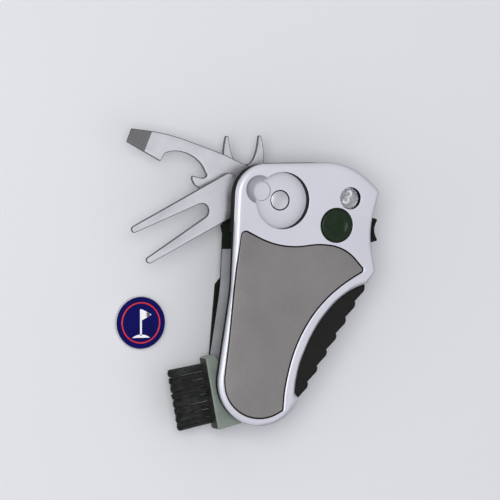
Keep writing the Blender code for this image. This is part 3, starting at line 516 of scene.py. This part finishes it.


# Painted shade: the thumb scoop is a darker grey silver, standing in for the shade in its bowl.
scoop_shade = grained("scoop_shade", (9000.0, 90.0), (0.27, 0.27, 0.30), (0.42, 0.42, 0.46),
                      (0.4, 0.5), Metallic=0.3)
carve(shell, [
    bore_cutter("socket_bore", socket, 19.0, 10.3, 0.2, 144),
    piece_of("magnet_seat", [turned(socket, [(0, 17.0), (3.75, 17.0), (3.75, 19.2), (0, 19.2)], 64)],
             [painted_wall_shade]),
    piece_of("thumb_scoop", [turned((-11.2, 33.0), [(0, 20.3), (2.0, 20.3)]
                                    + bend((2.0, 24.1), 3.8, -88, -36, 10)
                                    + [(5.35, 22.4), (5.6, 23.5), (0, 23.5)], 96)],
             [scoop_shade]),
    bore_cutter("tip_dimple", (-9.3, 32.3), 18.8, 3.6, 0.01, 96),
    bore_cutter("button_hole", button_centre, 18.0, 6.3, 0.3),
    bore_cutter("window_hole", window_centre, 18.0, 4.0, 0.2),
])
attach(shell, "case")
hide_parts("front_shell")

# Grey panel --------------------------------------------------------------------------------------
# A thin inlay let into the front shell, screen-textured grey, glued down with a fine gap all round,
# whose wall is painted dark as shade.
panel_grey, tree, shader, place = new_finish("panel_grey")
weave_u = put(tree, "ShaderNodeTexWave", {"Vector": place, "Scale": 900.0, "Distortion": 0.6},
              bands_direction="X")
weave_v = put(tree, "ShaderNodeTexWave", {"Vector": place, "Scale": 900.0, "Distortion": 0.6},
              bands_direction="Y")
weave = put(tree, "ShaderNodeMath", {0: weave_u.outputs["Fac"], 1: weave_v.outputs["Fac"]},
            operation="MULTIPLY")
mottle = effect(tree, grain, {
    "Place": place, "Grain Scale": 2500.0, "Drift Scale": 45.0, "Dark": (0.205, 0.192, 0.188, 1.0),
    "Light": (0.262, 0.248, 0.243, 1.0), "Smooth": 0.42, "Rough": 0.52})
tint = put(tree, "ShaderNodeMix", {"Factor": 0.12, 6: mottle.outputs["Colour"],
                                   7: weave.outputs[0]}, data_type="RGBA", blend_type="SOFT_LIGHT")
tree.links.new(tint.outputs[2], shader.inputs["Base Color"])
tree.links.new(mottle.outputs["Roughness"], shader.inputs["Roughness"])
shader.inputs["Metallic"].default_value = 0.35
add_bump(tree, shader, weave.outputs[0], 0.12, FINE_BUMP)
panel_low, panel_high = 21.1, 21.8
panel_loop = even(panel_plan, 0.8)
panel = moulding(
    "grey_panel_inlay", [panel_plan],
    lambda p: panel_high - roll(away_from(p, panel_loop), 0.25, 0.2),
    level(panel_low), [panel_grey], rings=(0.04, 0.12, 0.25), pitch=5.0)
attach(panel, "case")
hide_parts("grey_panel")

# Case, lever and slider --------------------------------------------------------------------------
# Moulded ABS, dark green-black, with the fine sparked grain of its tool: the band under the front
# shell, the back shell with the open tool slot, the belt clip, the lock lever and the slider.
dark_plastic = grained("dark_plastic", (3500.0, 70.0), (0.008, 0.011, 0.008),
                       (0.019, 0.024, 0.019), (0.55, 0.7), (0.2, 0.00005),
                       Specular_IOR_Level=0.02)
for name in ("chassis_plate", "back_shell", "belt_clip", "lock_lever", "reset_slider"):
    nodes[name].material_slots[0].material = dark_plastic

# Rubber grip -------------------------------------------------------------------------------------
# Black rubber, moulded in one: a crescent on the front and a band of saw teeth down the side, with
# a shallow groove across the crescent at each tooth.
black_rubber = grained("black_rubber", (2200.0, 90.0), (0.004, 0.004, 0.0035),
                       (0.011, 0.011, 0.0095), (0.6, 0.78), (0.35, 0.00008),
                       Specular_IOR_Level=0.22)
toe, hip = np.array(case_corners[-1][:2]), np.array(case_corners[0][:2])
along = (hip - toe) / np.linalg.norm(hip - toe)
outward = np.array((along[1], -along[0]))
first, last = (grip_curve[-1] - toe) @ along + 0.3, (grip_curve[0] - toe) @ along
teeth, depth = 7, 0.9
crescent_low, crescent_high, band_low, band_high = 17.0, 19.8, 8.5, 19.4
pitch = (last - first - 0.6) / teeth
foot = first + np.arange(teeth)[:, None] * pitch
run = foot + np.array([0.0, 0.72, 0.9]) * pitch
rise = np.tile([-0.2, depth, 0.6 * depth], (teeth, 1))
tooth = toe + run[..., None] * along + rise[..., None] * outward
saw = np.concatenate([tooth.reshape(-1, 2), [toe + (last - 0.4) * along - 0.2 * outward]])
way = np.gradient(grip_curve, axis=0)
way = way / np.linalg.norm(way, axis=1)[:, None]
rubber_edge = grip_curve + np.stack([-way[:, 1], way[:, 0]], 1) * 0.3
crescent_plan = outline_through(
    np.column_stack([np.concatenate([saw, rubber_edge[1:-1]]),
                     np.concatenate([np.full(len(saw), 0.25), np.zeros(len(rubber_edge) - 2)])]))
crescent_loop = even(crescent_plan, 0.6)


def crescent_top(points):
    """Rubber's front: a soft edge, and a groove across it at each tooth's foot."""
    run = (points - toe) @ along
    groove = np.exp(-((((run - first) / pitch + 0.5) % 1.0 - 0.5) * pitch / 0.45) ** 2)
    edge = away_from(points, crescent_loop)
    return crescent_high - roll(edge, 0.7, 0.6) - 0.35 * groove * np.clip(edge / 1.2, 0.0, 1.0)


crescent = moulding("grip_crescent", [crescent_plan], crescent_top,
                    level(crescent_low), [black_rubber],
                    rings=(0.05, 0.16, 0.34, 0.6), pitch=0.7, spacing=0.6)
taper = 3.0
base = np.array([toe + (last - taper) * along - 2.0 * outward,
                 toe + (first - 0.3 + taper) * along - 2.0 * outward])
band_plan = outline_through(np.column_stack([np.concatenate([saw, base]),
                                             np.full(len(saw) + 2, 0.25)]))
band_loop = even(band_plan, 0.6)
band = moulding("grip_side_band", [band_plan],
                lambda p: band_high - roll(away_from(p, band_loop), 0.5, 0.5),
                lambda p: band_low + roll(away_from(p, band_loop), 0.6, 0.6), [black_rubber],
                rings=(0.05, 0.16, 0.34, 0.6), pitch=3.0, spacing=0.6)
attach(crescent, "case")
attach(band, "case")
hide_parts("rubber_grip")

# Steel -------------------------------------------------------------------------------------------
# Satin stainless with a fine grain along its length for the pins, spacers and screws, and a
# bead-blasted liner in the slot.
steel_grain, ends_in, ends_out = new_effect(
    "rolled_grain",
    [("Place", "NodeSocketVector", None), ("Fineness", "NodeSocketFloat", 2200.0),
     ("Dark", "NodeSocketColor", (0.5, 0.5, 0.5, 1.0)),
     ("Light", "NodeSocketColor", (0.6, 0.6, 0.6, 1.0)),
     ("Smooth", "NodeSocketFloat", 0.25), ("Rough", "NodeSocketFloat", 0.4)],
    [("Colour", "NodeSocketColor"), ("Roughness", "NodeSocketFloat"), ("Height", "NodeSocketFloat")])
drawn = put(steel_grain, "ShaderNodeMapping", {"Vector": ends_in.outputs["Place"],
                                               "Scale": (0.03, 1.0, 1.0)})
streak = put(steel_grain, "ShaderNodeTexNoise", {
    "Vector": drawn.outputs[0], "Scale": ends_in.outputs["Fineness"], "Detail": 4.0,
    "Roughness": 0.65})
cloud = put(steel_grain, "ShaderNodeTexNoise", {"Vector": ends_in.outputs["Place"], "Scale": 120.0,
                                                "Detail": 2.0})
shade = put(steel_grain, "ShaderNodeMix", {"Factor": streak.outputs["Fac"],
                                           6: ends_in.outputs["Dark"], 7: ends_in.outputs["Light"]},
            data_type="RGBA")
gloss = put(steel_grain, "ShaderNodeMapRange", {
    "Value": cloud.outputs["Fac"], "From Min": 0.3, "From Max": 0.7,
    "To Min": ends_in.outputs["Smooth"], "To Max": ends_in.outputs["Rough"]})
steel_grain.links.new(shade.outputs[2], ends_out.inputs["Colour"])
steel_grain.links.new(gloss.outputs[0], ends_out.inputs["Roughness"])
steel_grain.links.new(streak.outputs["Fac"], ends_out.inputs["Height"])


def steel(name, angle, dark, light):
    """Satin steel with its grain along a direction, in degrees from +X."""
    made, tree, shader, place = new_finish(name)
    line = put(tree, "ShaderNodeMapping", {"Vector": place,
                                           "Rotation": (0.0, 0.0, -math.radians(angle))})
    worked = effect(tree, steel_grain, {
        "Place": line.outputs[0], "Dark": (*dark, 1.0), "Light": (*light, 1.0)})
    tree.links.new(worked.outputs["Colour"], shader.inputs["Base Color"])
    tree.links.new(worked.outputs["Roughness"], shader.inputs["Roughness"])
    shader.inputs["Metallic"].default_value = 1.0
    add_bump(tree, shader, worked.outputs["Height"], 0.12, FINE_BUMP)
    return made


PALE, BRIGHT = (0.70, 0.70, 0.72), (0.82, 0.82, 0.84)    # darkest and lightest grain of the tools
pin_steel = steel("pin_steel", 85.0, (0.46, 0.47, 0.49), (0.6, 0.61, 0.63))
bead_blasted = grained("bead_blasted_liner", (2400.0, 110.0), (0.30, 0.31, 0.33),
                       (0.42, 0.43, 0.46), (0.5, 0.65), (0.2, 0.00004), Metallic=0.2)
nodes["steel_liner"].material_slots[0].material = bead_blasted
for name in ("tool_pivot_pin", "lower_spacer", "upper_washer", "brush_pivot_pin",
             "brush_spacer", "lever_pin", "button_spring", "case_screw_1", "case_screw_2",
             "case_screw_3", "case_screw_4", "clip_screw_1", "clip_screw_2"):
    nodes[name].material_slots[0].material = pin_steel

# Folding tools -----------------------------------------------------------------------------------
# Three stamped plates of 1.4 mm stainless on one pin: the groove cleaner fork, the bottle opener
# with its ground tip, and the cleat wrench with its two pins. Their rounded edges are painted
# near-black as shade, and the opener's ground tip is painted darker as shade for its darker reflection.
tool_pin = np.array((-12.6, 33.5))
tool_thick = 1.4
fork_low, opener_low, wrench_low = 13.6, 11.6, 8.7       # heights of the plates' undersides


def swung(outline, angle):
    """Outline drawn along +x from the pin, turned to an angle in degrees and moved to the pin."""
    a = math.radians(angle)
    outline = np.array(outline, float)
    x, y = outline[:, 0], outline[:, 1]
    return tool_pin + np.stack([x * math.cos(a) - y * math.sin(a),
                                x * math.sin(a) + y * math.cos(a)], 1)


# Painted shade: a near-black finish for the plates' rounded edges, where they turn away from the light.
painted_edge_shade, tree, shader, place = new_finish("painted_edge_shade")
edge_shade_colour = effect(tree, steel_grain, {"Place": place, "Dark": (0.05, 0.05, 0.05, 1.0),
                                      "Light": (0.12, 0.12, 0.12, 1.0)})
tree.links.new(edge_shade_colour.outputs["Colour"], shader.inputs["Base Color"])
tree.links.new(edge_shade_colour.outputs["Roughness"], shader.inputs["Roughness"])
shader.inputs["Specular IOR Level"].default_value = 0.2


def tool_plate(name, corners, angle, low, finish, thin=None):
    """Flat tool with softened edges painted dark as shade, and a bore for the pin. thin(x) is its
    share of full thickness at a distance along it from the pin."""
    plan = outline_through(corners)
    bore = outline_through([(2.1 * math.cos(a), 2.1 * math.sin(a), 0.0)
                            for a in np.radians(np.arange(0, 360, 10))])
    loops = [swung(plan, angle), swung(bore, angle)]
    edges = [even(loop, 0.5) for loop in loops]
    a = math.radians(angle)
    middle = low + tool_thick / 2.0

    def half_height(points):
        edge = np.minimum(away_from(points, edges[0]), away_from(points, edges[1]))
        run = (points - tool_pin) @ np.array((math.cos(a), math.sin(a)))
        share = thin(run) if thin else 1.0
        return (tool_thick / 2.0 - roll(edge, 0.25, 0.24)) * share

    plate = moulding(name, loops, lambda p: middle + half_height(p),
                     lambda p: middle - half_height(p), [finish, painted_edge_shade],
                     rings=(0.04, 0.13, 0.28), pitch=1.3, spacing=0.5)
    # Faces within the edge roll take the painted edge shade.
    at = np.empty(len(plate.data.polygons) * 3)
    plate.data.polygons.foreach_get("center", at)
    at = at.reshape(-1, 3)[:, :2] / MM
    rim = np.minimum(away_from(at, edges[0]), away_from(at, edges[1])) < 0.26
    plate.data.polygons.foreach_set("material_index", rim.astype(int))
    return plate


def round_eye(radius, start, end):
    """Corners of the round root about the pin."""
    return [(radius * math.cos(a), radius * math.sin(a), 0.0)
            for a in np.radians(np.linspace(start, end, 30))]


FORK_ANGLE, OPENER_ANGLE, WRENCH_ANGLE = 207.1, 157.0, 90.0     # degrees from +X when open
fork_steel = steel("fork_steel", FORK_ANGLE, PALE, BRIGHT)
# Half widths of the fork, its slot's root and its slot's mouth, the slot's start and the prongs'
# end from the pin, and the shift of its middle line from the pin.
side, root, mouth, slot_end, length, shift = 7.5, 2.7, 5.15, 17.2, 46.8, -0.9
slot_arc = [(slot_end + root + root * math.cos(a), root * math.sin(a), 0.0)
            for a in np.radians(np.linspace(94, 266, 20))]
fork_corners = ([(8.0, side, 3.0), (length, side, 1.3), (length, mouth, 1.0)] + slot_arc
                + [(length, -mouth, 1.0), (length, -side, 1.3), (3.7, -side, 3.0)])
fork_corners = [(x, y + shift, r) for x, y, r in fork_corners]
fork = tool_plate("fork_plate", round_eye(6.6, 100, 294) + fork_corners[::-1], FORK_ANGLE, fork_low,
                  fork_steel, lambda run: 1.0 - 0.3 * np.clip((run - 40.0) / 7.0, 0.0, 1.0))
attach(fork, "fork")
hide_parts("groove_cleaner_fork")

opener_steel, tree, shader, place = new_finish("opener_steel")
angle = math.radians(OPENER_ANGLE)
line = put(tree, "ShaderNodeMapping", {
    "Vector": place, "Location": tuple(-MM * v for v in (
        tool_pin[0] * math.cos(angle) + tool_pin[1] * math.sin(angle),
        -tool_pin[0] * math.sin(angle) + tool_pin[1] * math.cos(angle),
        0.0)),
    "Rotation": (0.0, 0.0, -angle)})
rolled = effect(tree, steel_grain, {"Place": line.outputs[0], "Dark": (*PALE, 1.0),
                                    "Light": (*BRIGHT, 1.0)})
across = put(tree, "ShaderNodeMapping", {"Vector": line.outputs[0],
                                         "Rotation": (0.0, 0.0, math.radians(90.0))})
# The ground tip: a real cross grain, with its colour darkened as painted shade for the bevel's darker
# reflection.
ground_grain_and_shade = effect(tree, steel_grain, {
    "Place": across.outputs[0], "Fineness": 3000.0, "Dark": (0.13, 0.13, 0.128, 1.0),
    "Light": (0.30, 0.30, 0.295, 1.0), "Smooth": 0.3, "Rough": 0.45})
where = put(tree, "ShaderNodeSeparateXYZ", {0: line.outputs[0]})
tip = put(tree, "ShaderNodeMapRange", {"Value": where.outputs["X"], "From Min": 0.0414,
                                       "From Max": 0.0417})
colour = put(tree, "ShaderNodeMix", {"Factor": tip.outputs[0], 6: rolled.outputs["Colour"],
                                     7: ground_grain_and_shade.outputs["Colour"]}, data_type="RGBA")
tree.links.new(colour.outputs[2], shader.inputs["Base Color"])
tree.links.new(ground_grain_and_shade.outputs["Roughness"], shader.inputs["Roughness"])
shader.inputs["Metallic"].default_value = 1.0
add_bump(tree, shader, rolled.outputs["Height"], 0.12, FINE_BUMP)
throat = [(25.6 + 10.2 * math.cos(a), 5.0 + 7.4 * math.sin(a), 0.0)
          for a in np.radians(np.arange(-35, -151, -5))]
opener = tool_plate(
    "opener_plate",
    round_eye(7.4, 80, 285)
    + [(13.0, -7.6, LARGE), (28.0, -6.8, LARGE), (35.0, -6.3, LARGE), (41.0, -4.9, LARGE),
       (49.2, -2.7, 0.4), (49.0, 2.5, 0.4), (34.4, 4.0, 0.5)] + throat
    + [(15.8, 1.4, 1.0), (16.0, 2.6, 1.0), (17.1, 3.5, 1.0), (18.9, 3.8, LARGE), (21.1, 4.1, 0.4),
       (20.7, 5.5, 1.0), (18.9, 6.9, 1.5), (16.5, 7.3, 1.5)],
    OPENER_ANGLE, opener_low, opener_steel, lambda run: 1.0 - 0.6 * np.clip((run - 41.5) / 7.5, 0.0, 1.0))
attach(opener, "opener")
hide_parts("bottle_opener")

wrench_steel = steel("wrench_steel", WRENCH_ANGLE, PALE, BRIGHT)
prong = [(8.3, 7.95, 2.0), (12.8, 7.95, LARGE), (16.4, 7.35, LARGE), (18.4, 6.9, 0.5),
         (18.4, 5.8, 0.5), (14.6, 5.35, LARGE), (12.2, 4.75, LARGE), (10.0, 3.85, LARGE),
         (8.6, 2.75, LARGE), (7.7, 1.4, 1.0)]
wrench = tool_plate("wrench_plate", round_eye(7.4, 70, 290)
                    + [(x, -y, r) for x, y, r in prong] + prong[::-1],
                    WRENCH_ANGLE, wrench_low, wrench_steel)
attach(wrench, "wrench")
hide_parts("cleat_wrench")

# Brush -------------------------------------------------------------------------------------------
# A grey-green nylon block that swings on its own pin, with eight tufts of black nylon filament set
# into its edge.
brush_green = grained("brush_green", (2600.0, 130.0), (0.17, 0.205, 0.175), (0.235, 0.27, 0.24),
                      (0.34, 0.5), (0.18, 0.00005))
brush_pin = np.array((-9.7, -42.5))
brush_angle = math.radians(190.5)
brush_out = np.array((math.cos(brush_angle), math.sin(brush_angle)))
brush_across = np.array((-brush_out[1], brush_out[0]))
reach = 16.4                 # from the brush's pin to the face that the tufts stand on
block_low, block_high = 8.7, 14.9
block_corners = [(reach, -18.2, 0.6), (reach, 8.6, 0.6), (2.0, 7.8, 4.0), (-7.8, 7.8, 7.6),
                 (-7.8, -7.8, 7.6), (3.0, -7.8, 3.0), (9.0, -10.5, 2.0), (12.6, -18.2, 0.6)]


def on_brush(plan):
    """Points given along and across the brush from its pin, moved to its place on the tool."""
    return brush_pin + plan[..., :1] * brush_out + plan[..., 1:2] * brush_across


block_plan = on_brush(outline_through(block_corners))
bore = brush_pin + 2.1 * np.stack([np.cos(np.radians(np.arange(0, 360, 10))),
                                   np.sin(np.radians(np.arange(0, 360, 10)))], 1)
block_loop = even(block_plan, 0.7)
block = moulding(
    "brush_block_body", [block_plan, bore],
    lambda p: block_high - roll(np.minimum(away_from(p, block_loop), away_from(p, bore)), 0.5, 0.45),
    lambda p: block_low + roll(np.minimum(away_from(p, block_loop), away_from(p, bore)), 0.5, 0.45),
    [brush_green], rings=(0.05, 0.15, 0.3, 0.5), pitch=3.0, spacing=0.7)
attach(block, "brush")
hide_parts("brush_block")

bristle_nylon = grained("bristle_nylon", (1800.0, 500.0), (0.006, 0.007, 0.006),
                        (0.04, 0.043, 0.038), (0.35, 0.55), Specular_IOR_Level=0.25)
# A thin dark strip on that face, under the tufts: painted shade for the shadow that falls on the face
# there.
strip = np.array([(reach - 0.1, -17.7), (reach + 0.22, -17.7), (reach + 0.22, 8.1),
                  (reach - 0.1, 8.1)])
shade_strip_piece = moulding("bristle_shade_strip", [on_brush(strip)], level(14.45), level(9.0), [bristle_nylon],
               rings=(), pitch=3.0)
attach(shade_strip_piece, "brush")
tufts, strands, sides, steps = 8, 150, 5, 4
tuft_z, strand_low, strand_high = 10.1, 8.93, 11.27
chance = np.random.default_rng(7)
tuft_pitch = 22.2 / tufts
centre = -15.9 + (np.arange(tufts) + 0.5) * tuft_pitch
spin = chance.uniform(0.0, 2.0 * np.pi, (tufts, strands))
wide = np.sqrt(chance.uniform(0.0, 1.0, (tufts, strands)))
root_y = centre[:, None] + 1.22 * wide * np.cos(spin)
root_z = tuft_z + 1.15 * wide * np.sin(spin)
lean = chance.normal(0.0, 0.13, (2, tufts, strands))
tuft_lean = chance.normal(0.0, 0.08, (tufts, 1))
long = 13.6 - 0.55 * (wide ** 2) - chance.uniform(0.0, 0.5, (tufts, strands))
t = np.linspace(0.0, 1.0, steps + 1)[:, None, None]
x = reach - 0.2 + (long + 0.5) * t
y = root_y + (root_y - centre[:, None]) * 0.16 * t + (lean[0] + tuft_lean) * t ** 2
z = np.clip(root_z + (root_z - tuft_z) * 0.08 * t + lean[1] * t ** 2, strand_low, strand_high)
around = np.arange(sides) / sides * 2.0 * np.pi
radius = 0.12 * np.where(t > 0.99, 0.55, 1.0)[..., None]
spot_y = y[..., None] + radius * np.cos(around)
spot_z = z[..., None] + radius * np.sin(around)
spot_x = np.broadcast_to(x[..., None], spot_y.shape)
grid = np.stack([spot_x, spot_y, spot_z], -1).transpose(1, 2, 0, 3, 4)
grid = grid.reshape(-1, steps + 1, sides, 3)
points = np.concatenate([on_brush(grid), grid[..., 2:]], -1).reshape(-1, 3)
index = np.arange(len(points)).reshape(-1, steps + 1, sides)
ahead = np.roll(index, -1, 2)
tubes = np.stack([index[:, :-1], ahead[:, :-1], ahead[:, 1:], index[:, 1:]], -1).reshape(-1, 4)
caps = np.concatenate([index[:, -1], index[:, 0, ::-1]])
mesh = bpy.data.meshes.new("bristle_tufts")
mesh.from_pydata((points * MM).tolist(), [], tubes.tolist() + caps.tolist())
shape = bmesh.new()
shape.from_mesh(mesh)
bmesh.ops.recalc_face_normals(shape, faces=shape.faces)
shape.to_mesh(mesh)
shape.free()
mesh.shade_smooth()
mesh.set_sharp_from_angle(angle=math.radians(80.0))
mesh.materials.append(bristle_nylon)
bristles = bpy.data.objects.new("bristle_tufts", mesh)
bpy.context.scene.collection.objects.link(bristles)
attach(bristles, "brush")
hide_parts("bristle_pack")

# Stroke counter ----------------------------------------------------------------------------------
# A dished glossy green button, the white-numbered wheel that it turns, and a clear lens over the
# one numeral that shows.
button_green = grained("button_green", (1500.0, 200.0), (0.008, 0.018, 0.0075),
                       (0.013, 0.027, 0.012), (0.2, 0.3), Specular_IOR_Level=0.14)
button = piece_of("button_cap", [turned(button_centre, [
    (0.0, 21.62), (1.2, 21.66), (2.4, 21.78), (3.2, 21.96), (3.7, 22.14), (4.05, 22.3),
    (4.35, 22.38), (4.65, 22.4), (5.0, 22.36)] + bend((5.15, 21.5), 0.85, 85, 0, 8)
    + [(6.0, 20.4), (1.4, 20.4), (1.4, 18.2), (0.0, 18.2)], 96)], [button_green])
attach(button, "button")
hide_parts("counter_button")

numeral_grey = grained("numeral_grey", (3000.0, 150.0), (0.44, 0.44, 0.49), (0.52, 0.52, 0.57),
                       (0.45, 0.6))
numeral_white = grained("numeral_white", (5000.0, 300.0), (0.86, 0.86, 0.88), (0.93, 0.93, 0.95),
                        (0.4, 0.5))
wheel_axis = (21.0, 22.6)
wheel = piece_of("numeral_wheel_disc", [turned(wheel_axis, [
    (3.5, 17.9), (3.6, 17.8), (11.1, 17.8), (11.2, 17.9), (11.2, 18.85), (11.05, 19.0),
    (3.65, 19.0), (3.5, 18.9), (3.5, 17.9)], 120)], [numeral_grey])
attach(wheel, "counter_wheel")
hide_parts("numeral_wheel")
shown = math.atan2(window_centre[1] - wheel_axis[1], window_centre[0] - wheel_axis[0])
digit_radius, digit_level, first_shown = 7.42, 19.03, 3
for digit in range(10):
    text = bpy.data.curves.new(f"digit_{digit}", "FONT")
    text.body = str(digit)
    text.size = 7.2 * MM
    text.extrude = 0.03 * MM
    text.offset = 0.1 * MM
    text.align_x = "CENTER"
    text.align_y = "CENTER"
    text.resolution_u = 4
    holder = bpy.data.objects.new("digit_text", text)
    bpy.context.scene.collection.objects.link(holder)
    bpy.context.view_layer.update()
    evaluated = holder.evaluated_get(bpy.context.evaluated_depsgraph_get())
    mesh = bpy.data.meshes.new_from_object(evaluated)
    bpy.data.objects.remove(holder)
    angle = shown + math.radians(36.0) * (first_shown - digit)
    spot = Vector((wheel_axis[0] + digit_radius * math.cos(angle),
                   wheel_axis[1] + digit_radius * math.sin(angle), digit_level)) * MM
    mesh.transform(Matrix.Translation(spot) @ Matrix.Rotation(angle - math.pi / 2.0, 4, "Z")
                   @ Matrix.Diagonal((0.8, 1.0, 1.0, 1.0)))
    mesh.name = f"wheel_digit_{digit}"
    mesh.materials.clear()
    mesh.materials.append(numeral_white)
    number = bpy.data.objects.new(f"wheel_digit_{digit}", mesh)
    bpy.context.scene.collection.objects.link(number)
    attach(number, "counter_wheel")

lens_clear = grained("lens_clear", (700.0, 220.0), (0.94, 0.95, 0.95), (1.0, 1.0, 1.0),
                     (0.03, 0.09), Transmission_Weight=1.0, IOR=1.2)
lens_disc = piece_of("window_lens_disc", [turned(window_centre, [
    (0.0, 20.3), (3.5, 20.3), (3.7, 20.2), (3.8, 20.05), (3.8, 19.75), (0.0, 19.75)], 64)],
    [lens_clear])
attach(lens_disc, "case")
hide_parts("window_lens")

# Marker magnet -----------------------------------------------------------------------------------
# A nickel-plated disc pressed into the floor of the marker socket.
nickel = steel("nickel_plate", 30.0, (0.62, 0.62, 0.64), (0.74, 0.74, 0.76))
magnet = piece_of("magnet_disc", [turned(socket, [
    (0.0, 18.92), (3.1, 18.92), (3.3, 18.85), (3.4, 18.7), (3.4, 17.95), (0.0, 17.95)], 64)],
    [nickel])
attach(magnet, "case")
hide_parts("socket_magnet")

# Ball marker -------------------------------------------------------------------------------------
# A steel disc off the tool: navy enamel in a thin polished rim, with a plain red ring and a white
# flag on its pole, each a raised cell of enamel.
marker_centre = np.array((-49.0, -15.4))
navy = grained("marker_navy", (1200.0, 150.0), (0.0015, 0.0015, 0.075), (0.003, 0.003, 0.105),
               (0.12, 0.2), Specular_IOR_Level=0.12)
marker_red = grained("marker_red", (1200.0, 150.0), (0.55, 0.01, 0.015), (0.68, 0.02, 0.02),
                     (0.12, 0.2))
marker_edge = steel("marker_steel", 0.0, (0.6, 0.6, 0.62), (0.74, 0.74, 0.76))
marker = piece_of("marker_disc", [
    turned(marker_centre, [(9.35, 1.38), (0.0, 1.38)], 96) + (1,),
    turned(marker_centre, [(0.0, 0.0), (9.35, 0.0), (9.6, 0.2), (9.6, 1.3), (9.52, 1.45),
                           (9.42, 1.45), (9.35, 1.38)], 96)], [marker_edge, navy])
ring = piece_of("marker_ring", [turned(marker_centre, [
    (7.0, 1.36), (7.0, 1.43), (7.05, 1.46), (7.45, 1.46), (7.5, 1.43), (7.5, 1.36), (7.0, 1.36)],
    96)], [marker_red])
pole = outline_through([(-0.35, -4.6, 0.2), (0.35, -4.6, 0.2), (0.35, 4.9, 0.2),
                        (-0.35, 4.9, 0.2)])
flag = outline_through([(0.35, 4.9, 0.2), (0.35, 0.9, 0.2), (4.3, 2.9, 0.3)])
mound = outline_through([(-3.4, -5.4, 0.3), (3.4, -5.4, 0.3), (2.2, -4.5, LARGE),
                         (0.0, -4.15, LARGE), (-2.2, -4.5, LARGE)])
CELL_FOOT, CELL_TOP = 1.36, 1.46     # heights of a raised cell of enamel
patches = []
for shape_plan in (pole, flag[::-1], mound):
    loop = even(shape_plan + marker_centre, 0.5)
    patches += [skin([loop], level(CELL_TOP), (), 2.0),
                skin([loop], level(CELL_FOOT), (), 2.0, False),
                wall(loop, CELL_FOOT, CELL_TOP)]
motif = piece_of("marker_flag", patches, [numeral_white])
for item in (marker, ring, motif):
    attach(item, "marker")
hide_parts("ball_marker")
